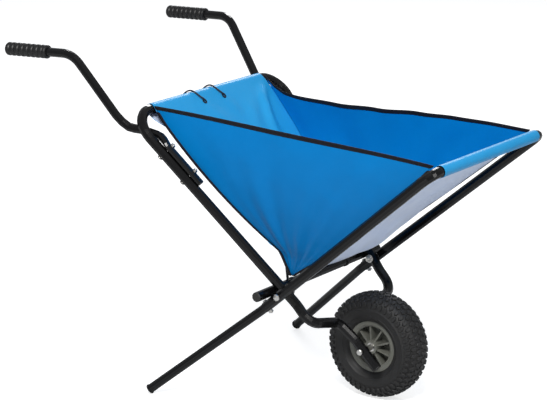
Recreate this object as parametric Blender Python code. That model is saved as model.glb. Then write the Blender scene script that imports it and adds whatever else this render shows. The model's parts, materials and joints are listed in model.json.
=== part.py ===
"""Folding one-wheel garden and camping cart: bent-tube frame, fabric tub, pneumatic wheel."""
import bpy
import bmesh
import math
from mathutils import Vector

for old in list(bpy.data.objects):
    bpy.data.objects.remove(old, do_unlink=True)

# ---- driving sizes, metres and degrees ----
gap = 0.0003                 # clearance between pieces that touch
tyreDiameter = 0.260
tyreWidth = 0.090
rimRadius = 0.063
rimHalfWidth = 0.029
hubHalf = 0.033
hubRadius = 0.0165
bearingRadius = 0.0110
bearingWidth = 0.0070
rimFins = 9
axleRadius = 0.0040
pivotBehindAxle = 0.138      # pivot axis behind the wheel's axle
pivotAboveAxle = 0.148
frontAngle = 40.2            # front frame and legs, from the floor
tubeRadius = 0.0125
tubeWall = 0.0012
handleRadius = 0.0110
barRadius = 0.0120           # stop bar
pivotHalf = 0.185            # frame side tube to the middle, at the pivot
rearFlare = 0.207            # frame side tubes spread this much for each metre up
frontFlare = 0.062
legFlare = 0.283
spacerThick = 0.0045         # washer space between the crossing tubes
rearLength = 0.548           # pivot to rear cross bar
frontLength = 0.562          # pivot to front cross bar
frontTail = 0.056            # front tube below the pivot
legBoltDrop = 0.047          # leg bolt below the pivot
rearCornerRadius = 0.060
frontCornerRadius = 0.034
forkHalf = 0.0645            # fork tube to the middle, at the axle
forkBelowAxle = 0.052
kneeDrop = 0.035             # frame side tubes turn parallel this far below the pivot
bendDrop = 0.089             # and bend inward to the fork here
stopBarHalf = 0.256
legKneeDrop = 0.068          # leg bends out this far below the pivot
clampLow = 0.322             # lower end of the handle, along the frame
boltNear = 0.351
boltFar = 0.428
clampTilt = 20.0             # handle sits this far round the frame tube
flatHalf = 0.0075            # half thickness of the flattened handle end
flatWide = 0.0135
gripHeight = 0.8005
gripReach = 0.731            # grip end behind the pivot
handleBend = 0.195           # from the grip's end to the handle's upper bend
gripLength = 0.121
gripHalf = 0.3155            # grip end to the middle
gripRadius = 0.0165
gripRibs = 7
boltRadius = 0.0030
pivotBoltRadius = 0.0040
clothThick = 0.0016
sleeveDrop = 0.070           # sleeve seam below the cross bar
tubTopRear = 0.224           # tub half width at the rear bar
tubTopFront = 0.215
tubBottomHalf = 0.118
tubWaist = 0.070             # rear panel keeps its narrow width up to here
floorRun = 0.100             # floor band reaches this far up each frame
topSag = 0.015
topInward = 0.024
cordRadius = 0.0020
sides = 10                   # flats round a tube

legRadius = tubeRadius - tubeWall - gap       # the leg plugs into the front tube
axleHeight = tyreDiameter / 2
pivot = Vector((-pivotBehindAxle, 0, axleHeight + pivotAboveAxle))
rearAngle = math.atan2(pivotAboveAxle, pivotBehindAxle)
axleDrop = math.hypot(pivotAboveAxle, pivotBehindAxle)
frontRad = math.radians(frontAngle)
rearUp = Vector((-math.cos(rearAngle), 0, math.sin(rearAngle)))
rearFace = Vector((math.sin(rearAngle), 0, math.cos(rearAngle)))
frontUp = Vector((math.cos(frontRad), 0, math.sin(frontRad)))
frontFace = Vector((-math.sin(frontRad), 0, math.cos(frontRad)))
across = Vector((0, 1, 0))
frontHalf = pivotHalf + 2 * tubeRadius + spacerThick


def onRear(along, side, lift=0.0):
    return pivot + rearUp * along + across * side + rearFace * lift


def onFront(along, side, lift=0.0):
    return pivot + frontUp * along + across * side + frontFace * lift


def rearHalfAt(along):
    return pivotHalf + rearFlare * along


def frontHalfAt(along):
    return frontHalf + frontFlare * along


# ---- materials ----
def makeMaterial(name, colour, roughness, metallic):
    mat = bpy.data.materials.new(name)
    mat.use_nodes = True
    shader = mat.node_tree.nodes["Principled BSDF"]
    shader.inputs["Base Color"].default_value = (*colour, 1)
    shader.inputs["Roughness"].default_value = roughness
    shader.inputs["Metallic"].default_value = metallic
    mat.diffuse_color = (*colour, 1)
    return mat


looks = {
    "blackGloss": ((0.012, 0.012, 0.013), 0.22, 0.0),
    "blackPlastic": ((0.02, 0.02, 0.02), 0.5, 0.0),
    "gripRubber": ((0.015, 0.015, 0.015), 0.7, 0.0),
    "steel": ((0.62, 0.62, 0.64), 0.28, 1.0),
    "rimGrey": ((0.17, 0.17, 0.155), 0.5, 0.0),
    "tyreRubber": ((0.012, 0.012, 0.012), 0.75, 0.0),
    "blueCloth": ((0.0, 0.17, 0.5), 0.55, 0.0),
    "bindingTape": ((0.008, 0.008, 0.015), 0.6, 0.0),
}


def addObject(name, mesh, look):
    colour, roughness, metallic = looks[look]
    obj = bpy.data.objects.new(name, mesh)
    bpy.context.scene.collection.objects.link(obj)
    mesh.materials.append(makeMaterial(name + "Look", colour, roughness, metallic))
    return obj


def finishMesh(name, bm, smoothAngle=40.0):
    bmesh.ops.remove_doubles(bm, verts=bm.verts, dist=1e-6)
    bmesh.ops.recalc_face_normals(bm, faces=bm.faces)
    if bm.calc_volume(signed=True) < 0:
        bmesh.ops.reverse_faces(bm, faces=bm.faces)
    mesh = bpy.data.meshes.new(name)
    bm.to_mesh(mesh)
    bm.free()
    mesh.shade_smooth()
    mesh.set_sharp_from_angle(angle=math.radians(smoothAngle))
    return mesh


def moveOrigin(obj, point):
    """Puts the object's origin at a point without moving its shape."""
    for vert in obj.data.vertices:
        vert.co = vert.co - point
    obj.location = point


# ---- shape helpers ----
def roundCorners(points, radii, pieces):
    """Replaces each inner corner of a path by an arc of the given radius."""
    path = [points[0]]
    for i in range(1, len(points) - 1):
        inward = (points[i - 1] - points[i]).normalized()
        onward = (points[i + 1] - points[i]).normalized()
        half = inward.angle(onward) / 2
        radius = radii[i - 1]
        reach = radius / math.tan(half)
        centre = points[i] + (inward + onward).normalized() * (radius / math.sin(half))
        first = points[i] + inward * reach - centre
        last = points[i] + onward * reach - centre
        turn = first.angle(last)
        for k in range(pieces[i - 1] + 1):
            share = k / pieces[i - 1]
            weightA = math.sin((1 - share) * turn) / math.sin(turn)
            weightB = math.sin(share * turn) / math.sin(turn)
            path.append(centre + first * weightA + last * weightB)
    path.append(points[-1])
    return path


def carryFrames(path, startNormal):
    """Normals carried along a path without twist, one pair for each point."""
    count = len(path)
    tangents = []
    for i in range(count):
        before = path[max(i - 1, 0)]
        after = path[min(i + 1, count - 1)]
        if 0 < i < count - 1:
            ahead = (path[i + 1] - path[i]).normalized()
            behind = (path[i] - path[i - 1]).normalized()
            tangents.append((ahead + behind).normalized())
        else:
            tangents.append((after - before).normalized())
    normal = startNormal - tangents[0] * startNormal.dot(tangents[0])
    normal.normalize()
    frames = []
    for i in range(count):
        if i > 0:
            turn = tangents[i - 1].rotation_difference(tangents[i])
            normal = turn @ normal
            normal = (normal - tangents[i] * normal.dot(tangents[i])).normalized()
        frames.append((tangents[i], normal, tangents[i].cross(normal)))
    return frames


def ringAt(bm, centre, frame, halfA, halfB, count):
    ring = []
    for k in range(count):
        turn = 2 * math.pi * (k + 0.5) / count
        offset = frame[1] * (halfA * math.cos(turn)) + frame[2] * (halfB * math.sin(turn))
        ring.append(bm.verts.new(centre + offset))
    return ring


def bridge(bm, ringA, ringB):
    count = len(ringA)
    for k in range(count):
        bm.faces.new((ringA[k], ringA[(k + 1) % count], ringB[(k + 1) % count], ringB[k]))


def makeTube(name, path, look, outer, wall, startNormal, halves=None, count=sides):
    """A hollow tube swept along a path; halves gives a flattened section per point."""
    bm = bmesh.new()
    frames = carryFrames(path, startNormal)
    outerRings = []
    innerRings = []
    for i, point in enumerate(path):
        halfA, halfB = halves[i] if halves else (outer, outer)
        outerRings.append(ringAt(bm, point, frames[i], halfA, halfB, count))
        innerRings.append(ringAt(bm, point, frames[i], halfA - wall, halfB - wall, count))
    for rings in (outerRings, innerRings):
        for a, b in zip(rings, rings[1:]):
            bridge(bm, a, b)
    bridge(bm, outerRings[0], innerRings[0])
    bridge(bm, outerRings[-1], innerRings[-1])
    return addObject(name, finishMesh(name, bm), look)


def makeTurned(name, profile, origin, axis, look, count, closed=True, startDir=None):
    """Turns a profile of (radius, height) about an axis; closed profiles ring the axis."""
    axis = axis.normalized()
    guess = startDir if startDir else Vector((1, 0, 0))
    if abs(axis.dot(guess)) > 0.9:
        guess = Vector((0, 0, 1))
    sideA = (guess - axis * guess.dot(axis)).normalized()
    sideB = axis.cross(sideA)
    bm = bmesh.new()
    rings = []
    for radius, height in profile:
        centre = origin + axis * height
        if radius < 1e-7:
            rings.append([bm.verts.new(centre)])
            continue
        ring = []
        for k in range(count):
            turn = 2 * math.pi * (k + 0.5) / count
            spoke = sideA * math.cos(turn) + sideB * math.sin(turn)
            ring.append(bm.verts.new(centre + spoke * radius))
        rings.append(ring)
    pairs = list(zip(rings, rings[1:]))
    if closed:
        pairs.append((rings[-1], rings[0]))
    for a, b in pairs:
        if len(a) == 1 and len(b) == 1:
            continue
        if len(a) == 1 or len(b) == 1:
            tip = a[0] if len(a) == 1 else b[0]
            ring = b if len(a) == 1 else a
            for k in range(count):
                bm.faces.new((tip, ring[k], ring[(k + 1) % count]))
        else:
            bridge(bm, a, b)
    return addObject(name, finishMesh(name, bm), look)


def makeStrip(name, centres, normals, halfWidths, thick, look):
    """A flat band: one station per centre, thick along its normal, wide across."""
    bm = bmesh.new()
    stations = []
    for centre, normal, half in zip(centres, normals, halfWidths):
        step = normal * (thick / 2)
        wide = across * half
        corners = (centre - wide - step, centre + wide - step, centre + wide + step, centre - wide + step)
        stations.append([bm.verts.new(c) for c in corners])
    for a, b in zip(stations, stations[1:]):
        bridge(bm, a, b)
    bm.faces.new(stations[0])
    bm.faces.new(stations[-1])
    return addObject(name, finishMesh(name, bm), look)


def lineNormals(points):
    """Normals of a line that stays in one upright fore-and-aft plane."""
    normals = []
    for i in range(len(points)):
        before = points[max(i - 1, 0)]
        after = points[min(i + 1, len(points) - 1)]
        heading = (after - before).normalized()
        normals.append(across.cross(heading).normalized())
    return normals


def makeSkin(name, rows, thick, look):
    """A thin sheet through rows of points, thickened away from the first face."""
    bm = bmesh.new()
    lower = [[bm.verts.new(p) for p, out in row] for row in rows]
    upper = [[bm.verts.new(p + out * thick) for p, out in row] for row in rows]
    high = len(rows)
    wide = len(rows[0])
    for r in range(high - 1):
        for c in range(wide - 1):
            bm.faces.new((lower[r][c], lower[r][c + 1], lower[r + 1][c + 1], lower[r + 1][c]))
            bm.faces.new((upper[r][c], upper[r][c + 1], upper[r + 1][c + 1], upper[r + 1][c]))
    for r in range(high - 1):
        bm.faces.new((lower[r][0], lower[r + 1][0], upper[r + 1][0], upper[r][0]))
        bm.faces.new((lower[r][-1], lower[r + 1][-1], upper[r + 1][-1], upper[r][-1]))
    for c in range(wide - 1):
        bm.faces.new((lower[0][c], lower[0][c + 1], upper[0][c + 1], upper[0][c]))
        bm.faces.new((lower[-1][c], lower[-1][c + 1], upper[-1][c + 1], upper[-1][c]))
    return addObject(name, finishMesh(name, bm), look)


cutterCount = 0


def drill(targets, start, end, radius):
    """Drills one round hole through every target."""
    global cutterCount
    cutterCount += 1
    name = "drill_%02d" % cutterCount
    length = (end - start).length
    profile = [(0, 0), (radius, 0), (radius, length), (0, length)]
    cutter = makeTurned(name, profile, start, end - start, "steel", 10, closed=False)
    cutter.hide_render = True
    cutter.display_type = "WIRE"
    for target in targets:
        cut = target.modifiers.new("hole", "BOOLEAN")
        cut.operation = "DIFFERENCE"
        cut.solver = "EXACT"
        cut.object = cutter
    return cutter


def makeBolt(name, seat, direction, length, shank, headRadius, headHigh, look="steel"):
    """Round-headed bolt; its head stands behind the seat and its shank runs along direction."""
    profile = [(0, -headHigh), (headRadius * 0.55, -headHigh * 0.86), (headRadius * 0.9, -headHigh * 0.45),
               (headRadius, 0), (shank, 0), (shank, length - 0.001), (shank - 0.0008, length), (0, length)]
    return makeTurned(name, profile, seat, direction, look, 10, closed=False)


def makeNut(name, seat, direction, shank, acrossFlats, thick, look="steel"):
    """Hexagon nut standing on its seat."""
    inner = (shank + gap) / math.cos(math.pi / 6)
    outer = acrossFlats / 2 / math.cos(math.pi / 6)
    profile = [(inner, 0), (outer, 0), (outer, thick), (inner, thick)]
    return makeTurned(name, profile, seat, direction, look, 6)


def fitInside(bore, count=sides):
    """Radius that clears the flats of a bore with this many sides."""
    return bore * math.cos(math.pi / count) - gap


def makePlug(name, end, outward, outer, bore, look="blackPlastic"):
    """Tube end cap: a plug inside the tube and a thin rounded flange outside."""
    plug = fitInside(bore)
    profile = [(0, -0.010), (plug, -0.010), (plug, gap), (outer, gap),
               (outer, 0.0018), (outer - 0.0012, 0.0030), (0, 0.0030)]
    return makeTurned(name, profile, end, outward, look, sides, closed=False)


sideNames = (("right", -1), ("left", 1))

# ---- main frame: one tube from fork end over the rear bar to the other fork end ----
boreRadius = tubeRadius - tubeWall
forkTop = -axleDrop + 0.088
forkKneeRise = 0.032
forkTaper = 0.069
forkKnee = -axleDrop + forkKneeRise
bendLine = -bendDrop
kneeSide = rearHalfAt(-kneeDrop)
forkEnd = -axleDrop - forkBelowAxle
halfPath = [
    (forkEnd, forkHalf - forkBelowAxle * forkTaper),
    (forkKnee, forkHalf + forkKneeRise * forkTaper),
    (forkTop, forkHalf + 0.0190),
    (bendLine, kneeSide),
    (-kneeDrop, kneeSide),
    (rearLength, rearHalfAt(rearLength)),
]
corners = [onRear(a, -h) for a, h in halfPath] + [onRear(a, h) for a, h in reversed(halfPath)]
framePath = roundCorners(
    corners,
    [0.060, 0.030, 0.040, 0.100, rearCornerRadius, rearCornerRadius, 0.100, 0.040, 0.030, 0.060],
    [2, 5, 6, 2, 10, 10, 2, 6, 5, 2])
frameTube = makeTube("frame_tube", framePath, "blackGloss", tubeRadius, tubeWall, rearFace)

# ---- front frame: one tube round the front bar, crossing outside the main frame ----
frontPath = roundCorners(
    [onFront(-frontTail, -frontHalfAt(-frontTail)), onFront(frontLength, -frontHalfAt(frontLength)),
     onFront(frontLength, frontHalfAt(frontLength)), onFront(-frontTail, frontHalfAt(-frontTail))],
    [frontCornerRadius, frontCornerRadius], [9, 9])
frontTube = makeTube("front_tube", frontPath, "blackGloss", tubeRadius, tubeWall, frontFace)

# ---- legs: plugged into the front tube's lower ends, bent outward to the floor ----
spigotTop = -0.012
legBore = legRadius - tubeWall
capRadius = legRadius + 0.0015
capThick = 0.0030
kneeHalf = frontHalfAt(-legKneeDrop)
legDown = math.sin(frontRad) / math.sqrt(1 + legFlare ** 2)
lowestEdge = capRadius * math.sqrt(1 - legDown ** 2)
kneeHeight = pivot.z - legKneeDrop * math.sin(frontRad)
legRun = (kneeHeight - lowestEdge) / legDown - capThick
legAlong = legRun / math.sqrt(1 + legFlare ** 2)
legTubes = {}
for side, sign in sideNames:
    knee = onFront(-legKneeDrop, sign * kneeHalf)
    foot = onFront(-legKneeDrop - legAlong, sign * (kneeHalf + legFlare * legAlong))
    top = onFront(spigotTop, sign * frontHalfAt(spigotTop))
    legPath = roundCorners([top, knee, foot], [0.050], [3])
    legTubes[side] = makeTube("leg_" + side, legPath, "blackGloss", legRadius, tubeWall, frontFace)
    heading = (foot - knee).normalized()
    plug = fitInside(legBore)
    profile = [(0, -0.012), (plug, -0.012), (plug, gap), (capRadius, gap),
               (capRadius, capThick), (0, capThick)]
    makeTurned("foot_cap_" + side, profile, foot, heading, "blackPlastic", sides, closed=False)

# ---- stop bar in the rear crotch of the crossing, under the frame and over the legs ----
underRear = tubeRadius + barRadius + gap
overFront = tubeRadius + barRadius + gap
spread = rearFace.x * frontFace.z - rearFace.z * frontFace.x      # sine of the frames' angle
barX = (-underRear * frontFace.z - rearFace.z * overFront) / spread
barZ = (rearFace.x * overFront + frontFace.x * underRear) / spread
barCentre = pivot + Vector((barX, 0, barZ))
barPath = [barCentre - across * stopBarHalf, barCentre + across * stopBarHalf]
stopBar = makeTube("stop_bar", barPath, "blackGloss", barRadius, tubeWall, Vector((0, 0, 1)))
for side, sign in sideNames:
    makePlug("stop_bar_cap_" + side, barCentre + across * (sign * stopBarHalf), across * sign,
             barRadius, barRadius - tubeWall)

# ---- handles: round tube, flattened where it is bolted over the frame's side tube ----
clampReach = tubeRadius + flatHalf + gap
besideTube = tubeRadius + handleRadius        # round handle against the frame tube
handleTubes = {}
for side, sign in sideNames:
    sideLine = (rearUp + across * (sign * rearFlare)).normalized()
    inward = rearFace.cross(sideLine).normalized()
    if inward.dot(across) * sign > 0:
        inward = -inward

    def aroundTube(along, turn, reach):
        angle = math.radians(turn)
        return (onRear(along, sign * rearHalfAt(along)) + rearFace * (reach * math.cos(angle))
                + inward * (reach * math.sin(angle)))

    boltLine = rearFace * math.cos(math.radians(clampTilt)) + inward * math.sin(math.radians(clampTilt))
    gripEnd = pivot + Vector((-gripReach, 0, 0)) + across * (sign * gripHalf)
    gripEnd.z = gripHeight
    elbow = pivot + Vector((-gripReach + handleBend, 0, 0)) + across * (sign * (gripHalf - 0.005))
    elbow.z = gripHeight + 0.0080
    lean = onRear(rearLength + 0.030, sign * (rearHalfAt(rearLength) - 0.016), -(besideTube + 0.0235))
    upper = roundCorners([gripEnd, elbow, lean], [0.055], [6])
    lower = [onRear(rearLength - 0.010, sign * (rearHalfAt(rearLength) - 0.026), -(besideTube + 0.0195))]
    lower.append(aroundTube(boltFar + 0.082, 132, besideTube + 0.0125))
    lower.append(aroundTube(boltFar + 0.057, 104, besideTube + 0.0043))
    lower.append(aroundTube(boltFar + 0.036, 66, besideTube + 0.0010))
    lower.append(aroundTube(boltFar + 0.018, 30, tubeRadius + flatHalf + 0.0015))
    lower.append(aroundTube(boltFar + 0.006, clampTilt, clampReach))
    lower.append(aroundTube(boltNear, clampTilt, clampReach))
    lower.append(aroundTube(clampLow, clampTilt, clampReach))
    guide = [upper[-1]] + lower
    fine = []
    for i in range(len(guide) - 1):
        p0 = guide[max(i - 1, 0)]
        p1, p2 = guide[i], guide[i + 1]
        p3 = guide[min(i + 2, len(guide) - 1)]
        if i == 0:
            p0 = upper[-2]
        t1 = (p2 - p0) * 0.5
        t2 = (p3 - p1) * 0.5
        length = (p2 - p1).length
        if t1.length > length:
            t1 = t1.normalized() * length
        if t2.length > length:
            t2 = t2.normalized() * length
        if i >= len(guide) - 3:
            t1 = p2 - p1
            t2 = p2 - p1
        steps = 1 if i >= len(guide) - 3 else 2
        for k in range(steps):
            u = k / steps
            a = 2 * u ** 3 - 3 * u ** 2 + 1
            b = u ** 3 - 2 * u ** 2 + u
            c = -2 * u ** 3 + 3 * u ** 2
            d = u ** 3 - u ** 2
            fine.append(p1 * a + t1 * b + p2 * c + t2 * d)
    fine.append(guide[-1])
    path = upper[:-1] + fine
    path.reverse()
    halves = []
    flatEnd = (aroundTube(boltFar + 0.006, clampTilt, clampReach) - path[0]).length
    for point in path:
        away = (point - path[0]).length
        share = min(max((away - flatEnd) / 0.045, 0.0), 1.0)
        share = share * share * (3 - 2 * share)
        halves.append((flatHalf + (handleRadius - flatHalf) * share,
                       flatWide + (handleRadius - flatWide) * share))
    handleTubes[side] = makeTube("handle_" + side, path, "blackGloss", handleRadius, tubeWall,
                                 boltLine, halves)
    # grip over the straight end
    gripAxis = (elbow - gripEnd).normalized()
    inside = (handleRadius + gap) / math.cos(math.pi / 12)
    profile = [(0, -0.006), (gripRadius * 0.62, -0.0052), (gripRadius * 0.92, -0.0022), (gripRadius, 0.002)]
    ribPitch = (gripLength - 0.008) / gripRibs
    for k in range(gripRibs):
        start = 0.004 + k * ribPitch
        profile.append((gripRadius, start + ribPitch * 0.58))
        profile.append((gripRadius - 0.0022, start + ribPitch * 0.76))
        if k < gripRibs - 1:
            profile.append((gripRadius, start + ribPitch * 0.96))
    profile.append((gripRadius, gripLength - 0.001))
    profile.append((inside, gripLength - 0.001))
    profile.append((inside, -0.0010))
    profile.append((0, -0.0010))
    makeTurned("grip_" + side, profile, gripEnd, gripAxis, "gripRubber", 12, closed=False)
    # lower end plug: flattened like the tube's end
    endDir = (path[0] - path[1]).normalized()
    plugPath = [path[0] + endDir * gap, path[0] + endDir * 0.0030]
    bm = bmesh.new()
    frames = carryFrames(plugPath, boltLine)
    rings = []
    for i, point in enumerate(plugPath):
        shrink = 0.0 if i == 0 else 0.0010
        rings.append(ringAt(bm, point, frames[i], flatHalf - shrink, flatWide - shrink, sides))
    bridge(bm, rings[0], rings[1])
    bm.faces.new(rings[0])
    bm.faces.new(rings[1])
    addObject("handle_cap_" + side, finishMesh("handle_cap_" + side, bm), "blackPlastic")
    # bolts through frame and handle
    for label, along in (("upper", boltFar), ("lower", boltNear)):
        centre = aroundTube(along, 0, 0)
        seat = centre - boltLine * (tubeRadius + gap)
        top = tubeRadius + clampReach + flatHalf + gap
        drill([frameTube, handleTubes[side]], centre - boltLine * 0.03, centre + boltLine * 0.05,
              boltRadius + gap)
        makeBolt("handle_bolt_%s_%s" % (label, side), seat, boltLine, top + 0.0075, boltRadius,
                 0.0068, 0.0038)
        makeNut("handle_nut_%s_%s" % (label, side), seat + boltLine * (top + gap), boltLine,
                boltRadius, 0.0100, 0.0048)

# ---- pivots ----
for side, sign in sideNames:
    outward = across * sign
    seatY = frontHalf + tubeRadius / math.cos(math.atan(frontFlare)) + 0.0008
    nutY = pivotHalf - tubeRadius / math.cos(math.atan(rearFlare)) - 0.0026
    drill([frameTube, frontTube], pivot + outward * 0.10, pivot + outward * 0.30,
          pivotBoltRadius + 2 * gap)
    makeBolt("pivot_bolt_" + side, pivot + outward * seatY, -outward, seatY - nutY + 0.0105,
             pivotBoltRadius, 0.0085, 0.0045)
    nutBore = (pivotBoltRadius + gap) / math.cos(math.pi / 12)
    profile = [(nutBore, 0), (0.0104, 0), (0.0100, 0.0018), (0.0074, 0.0026), (0.0070, 0.0078),
               (0.0058, 0.0088), (nutBore, 0.0088)]
    makeTurned("pivot_nut_" + side, profile, pivot + outward * nutY, -outward, "steel", 12)
    ringIn = pivotHalf + tubeRadius / math.cos(math.atan(rearFlare)) + 0.0016
    ringOut = frontHalf - tubeRadius / math.cos(math.atan(frontFlare)) - 0.0007
    profile = [(pivotBoltRadius + gap, ringIn), (0.0068, ringIn), (0.0068, ringOut),
               (pivotBoltRadius + gap, ringOut)]
    makeTurned("pivot_washer_" + side, profile, Vector(pivot), outward, "blackPlastic", sides)
    # leg bolts, square to the front frame's plane, head up and nut below
    legCentre = onFront(-legBoltDrop, sign * frontHalfAt(-legBoltDrop))
    drill([frontTube, legTubes[side]], legCentre - frontFace * 0.03, legCentre + frontFace * 0.03,
          boltRadius + gap)
    makeBolt("leg_bolt_" + side, legCentre + frontFace * (tubeRadius + 0.0003), -frontFace,
             2 * tubeRadius + 0.0006 + 0.0070, boltRadius, 0.0060, 0.0032)
    makeNut("leg_nut_" + side, legCentre - frontFace * (tubeRadius + 0.0003), -frontFace,
            boltRadius, 0.0100, 0.0048)
    # fork end caps
    forkHeading = (corners[0] - corners[1]).normalized()
    forkHeading = Vector((forkHeading.x, abs(forkHeading.y) * -sign, forkHeading.z))
    makePlug("fork_cap_" + side, onRear(halfPath[0][0], sign * halfPath[0][1]), forkHeading,
             tubeRadius, boreRadius)

# ---- wheel ----
axle = Vector((0, 0, axleHeight))
tyreRadius = tyreDiameter / 2
halfTyre = tyreWidth / 2
beadRadius = rimRadius - 0.0045
tyreProfile = [
    (beadRadius + gap, -rimHalfWidth + 0.0045), (rimRadius + gap, -rimHalfWidth + 0.0015),
    (rimRadius + 0.010, -halfTyre * 0.88), (rimRadius + 0.026, -halfTyre),
    (tyreRadius - 0.018, -halfTyre * 0.96), (tyreRadius - 0.0055, -halfTyre * 0.70),
    (tyreRadius, -halfTyre * 0.28), (tyreRadius, halfTyre * 0.28),
    (tyreRadius - 0.0055, halfTyre * 0.70), (tyreRadius - 0.018, halfTyre * 0.96),
    (rimRadius + 0.026, halfTyre), (rimRadius + 0.010, halfTyre * 0.88),
    (rimRadius + gap, rimHalfWidth - 0.0015), (beadRadius + gap, rimHalfWidth - 0.0045),
    (beadRadius + gap, rimHalfWidth - 0.0115),
    (rimRadius + 0.008, halfTyre - 0.0105), (rimRadius + 0.027, halfTyre - 0.0062),
    (tyreRadius - 0.022, halfTyre * 0.72), (tyreRadius - 0.0125, halfTyre * 0.25),
    (tyreRadius - 0.0125, -halfTyre * 0.25), (tyreRadius - 0.022, -halfTyre * 0.72),
    (rimRadius + 0.027, -halfTyre + 0.0062), (rimRadius + 0.008, -halfTyre + 0.0105),
    (beadRadius + gap, -rimHalfWidth + 0.0115),
]
tyre = makeTurned("tyre", tyreProfile, axle, across, "tyreRubber", 40)
tubeMiddle = (rimRadius + tyreRadius) / 2 - 0.0055
tubeHalfR = tyreRadius - 0.0150 - tubeMiddle
innerProfile = []
for k in range(8):
    turn = 2 * math.pi * k / 8
    innerProfile.append((tubeMiddle + tubeHalfR * math.cos(turn), (halfTyre - 0.0135) * math.sin(turn)))
makeTurned("inner_tube", innerProfile, axle, across, "gripRubber", 20)
boreOf = bearingRadius + gap
rimProfile = [
    (boreOf, -hubHalf), (hubRadius, -hubHalf), (hubRadius + 0.001, -0.003),
    (rimRadius - 0.0150, -0.003), (rimRadius - 0.0130, -rimHalfWidth + 0.003),
    (rimRadius - 0.0085, -rimHalfWidth), (rimRadius, -rimHalfWidth),
    (rimRadius, -rimHalfWidth + 0.0012), (beadRadius, -rimHalfWidth + 0.0042),
    (beadRadius, -rimHalfWidth + 0.0120), (rimRadius - 0.0105, -rimHalfWidth + 0.0170),
    (rimRadius - 0.0105, rimHalfWidth - 0.0170), (beadRadius, rimHalfWidth - 0.0120),
    (beadRadius, rimHalfWidth - 0.0042), (rimRadius, rimHalfWidth - 0.0012),
    (rimRadius, rimHalfWidth), (rimRadius - 0.0085, rimHalfWidth),
    (rimRadius - 0.0130, rimHalfWidth - 0.003), (rimRadius - 0.0150, 0.003),
    (hubRadius + 0.001, 0.003), (hubRadius, hubHalf), (boreOf, hubHalf),
]
rim = makeTurned("rim", rimProfile, axle, across, "rimGrey", 30)
for k in range(rimFins):
    turn = 2 * math.pi * (k + 0.5) / rimFins
    spoke = Vector((math.cos(turn), 0, math.sin(turn)))
    beside = Vector((-math.sin(turn), 0, math.cos(turn)))
    bm = bmesh.new()
    low = hubRadius - 0.0020
    high = rimRadius - 0.0125
    loops = []
    for radius, half in ((low, hubHalf - 0.0040), (high, rimHalfWidth - 0.0060)):
        centre = axle + spoke * radius
        corner = [centre + across * half + beside * 0.0020, centre + across * half - beside * 0.0020,
                  centre - across * half - beside * 0.0020, centre - across * half + beside * 0.0020]
        loops.append([bm.verts.new(c) for c in corner])
    bridge(bm, loops[0], loops[1])
    bm.faces.new(loops[0])
    bm.faces.new(loops[1])
    finName = "fin_guide_%d" % k
    fin = addObject(finName, finishMesh(finName, bm), "rimGrey")
    fin.hide_render = True
    fin.display_type = "WIRE"
    join = rim.modifiers.new("fin", "BOOLEAN")
    join.operation = "UNION"
    join.solver = "EXACT"
    join.object = fin
bearings = []
for side, sign in sideNames:
    start = sign * (hubHalf - 0.0010)
    end = start - sign * bearingWidth
    bore = (axleRadius + 0.00008) / math.cos(math.pi / 16)
    profile = [(bore, start), (bearingRadius, start), (bearingRadius, end), (bore, end)]
    bearings.append(makeTurned("bearing_" + side, profile, axle, across, "steel", 16))

# ---- axle bolt, nut and hub spacers ----
forkOut = forkHalf + tubeRadius + 0.0012
boltSeat = forkOut
drill([frameTube], axle - across * 0.12, axle + across * 0.12, axleRadius + gap)
hexProfile = [(0, -0.0055), (0.0062, -0.0055), (0.0075, -0.0045), (0.0075, 0)]
axleProfile = hexProfile + [(axleRadius, 0), (axleRadius, 2 * forkOut + 0.0090),
                            (axleRadius - 0.0010, 2 * forkOut + 0.0100), (0, 2 * forkOut + 0.0100)]
makeTurned("axle_bolt", axleProfile, axle - across * boltSeat, across, "steel", 12, closed=False)
makeNut("axle_nut", axle + across * boltSeat, across, axleRadius, 0.0130, 0.0070)
for side, sign in sideNames:
    near = hubHalf + 2 * gap
    far = forkHalf - tubeRadius - 0.0012
    profile = [(axleRadius + gap, sign * near), (0.0072, sign * near), (0.0072, sign * far),
               (axleRadius + gap, sign * far)]
    makeTurned("hub_spacer_" + side, profile, axle, across, "steel", 16)

# ---- fabric tub ----
panelLift = tubeRadius + clothThick / 2 + 2 * gap
floorLift = 0.0200
sleeveRadius = tubeRadius + clothThick / 2 + 2 * gap


def tubRearHalf(along):
    """Half width of the tub's rear panel: wide at the bar, waisted towards the floor."""
    share = min(max((along - tubWaist) / (rearLength - tubWaist), 0.0), 1.0)
    return tubBottomHalf + (tubTopRear - tubBottomHalf) * (1 - (1 - share) ** 2.2)


def tubFrontHalf(along):
    share = min(max(along / frontLength, 0.0), 1.0)
    return tubBottomHalf + (tubTopFront - tubBottomHalf) * (1 - (1 - share) ** 1.7)


cheekRows = 7
cheekCols = 7
cheekTop = 0.003             # cheek starts this far below each cross bar
cheekRise = 0.0046           # and lies over the bar there
cheekBottom = 0.030


def rowPlaces(length):
    """Distances up a frame at which the cheek's rows meet its panel."""
    top = length - cheekTop
    return [top + (cheekBottom - top) * r / (cheekRows - 1) for r in range(cheekRows)]


def edgeHalf(widthAt, length, along):
    """Panel half width: straight between the cheek's rows, just inside the cheek."""
    places = rowPlaces(length)
    along = min(max(along, places[-1]), places[0])
    for high, low in zip(places, places[1:]):
        if low <= along <= high:
            share = (along - low) / (high - low)
            return widthAt(low) + (widthAt(high) - widthAt(low)) * share - 2 * gap
    return widthAt(places[0]) - 2 * gap


def frontLift(along):
    return floorLift + (sleeveRadius - floorLift) * min(max(along / frontLength, 0.0), 1.0)


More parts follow.
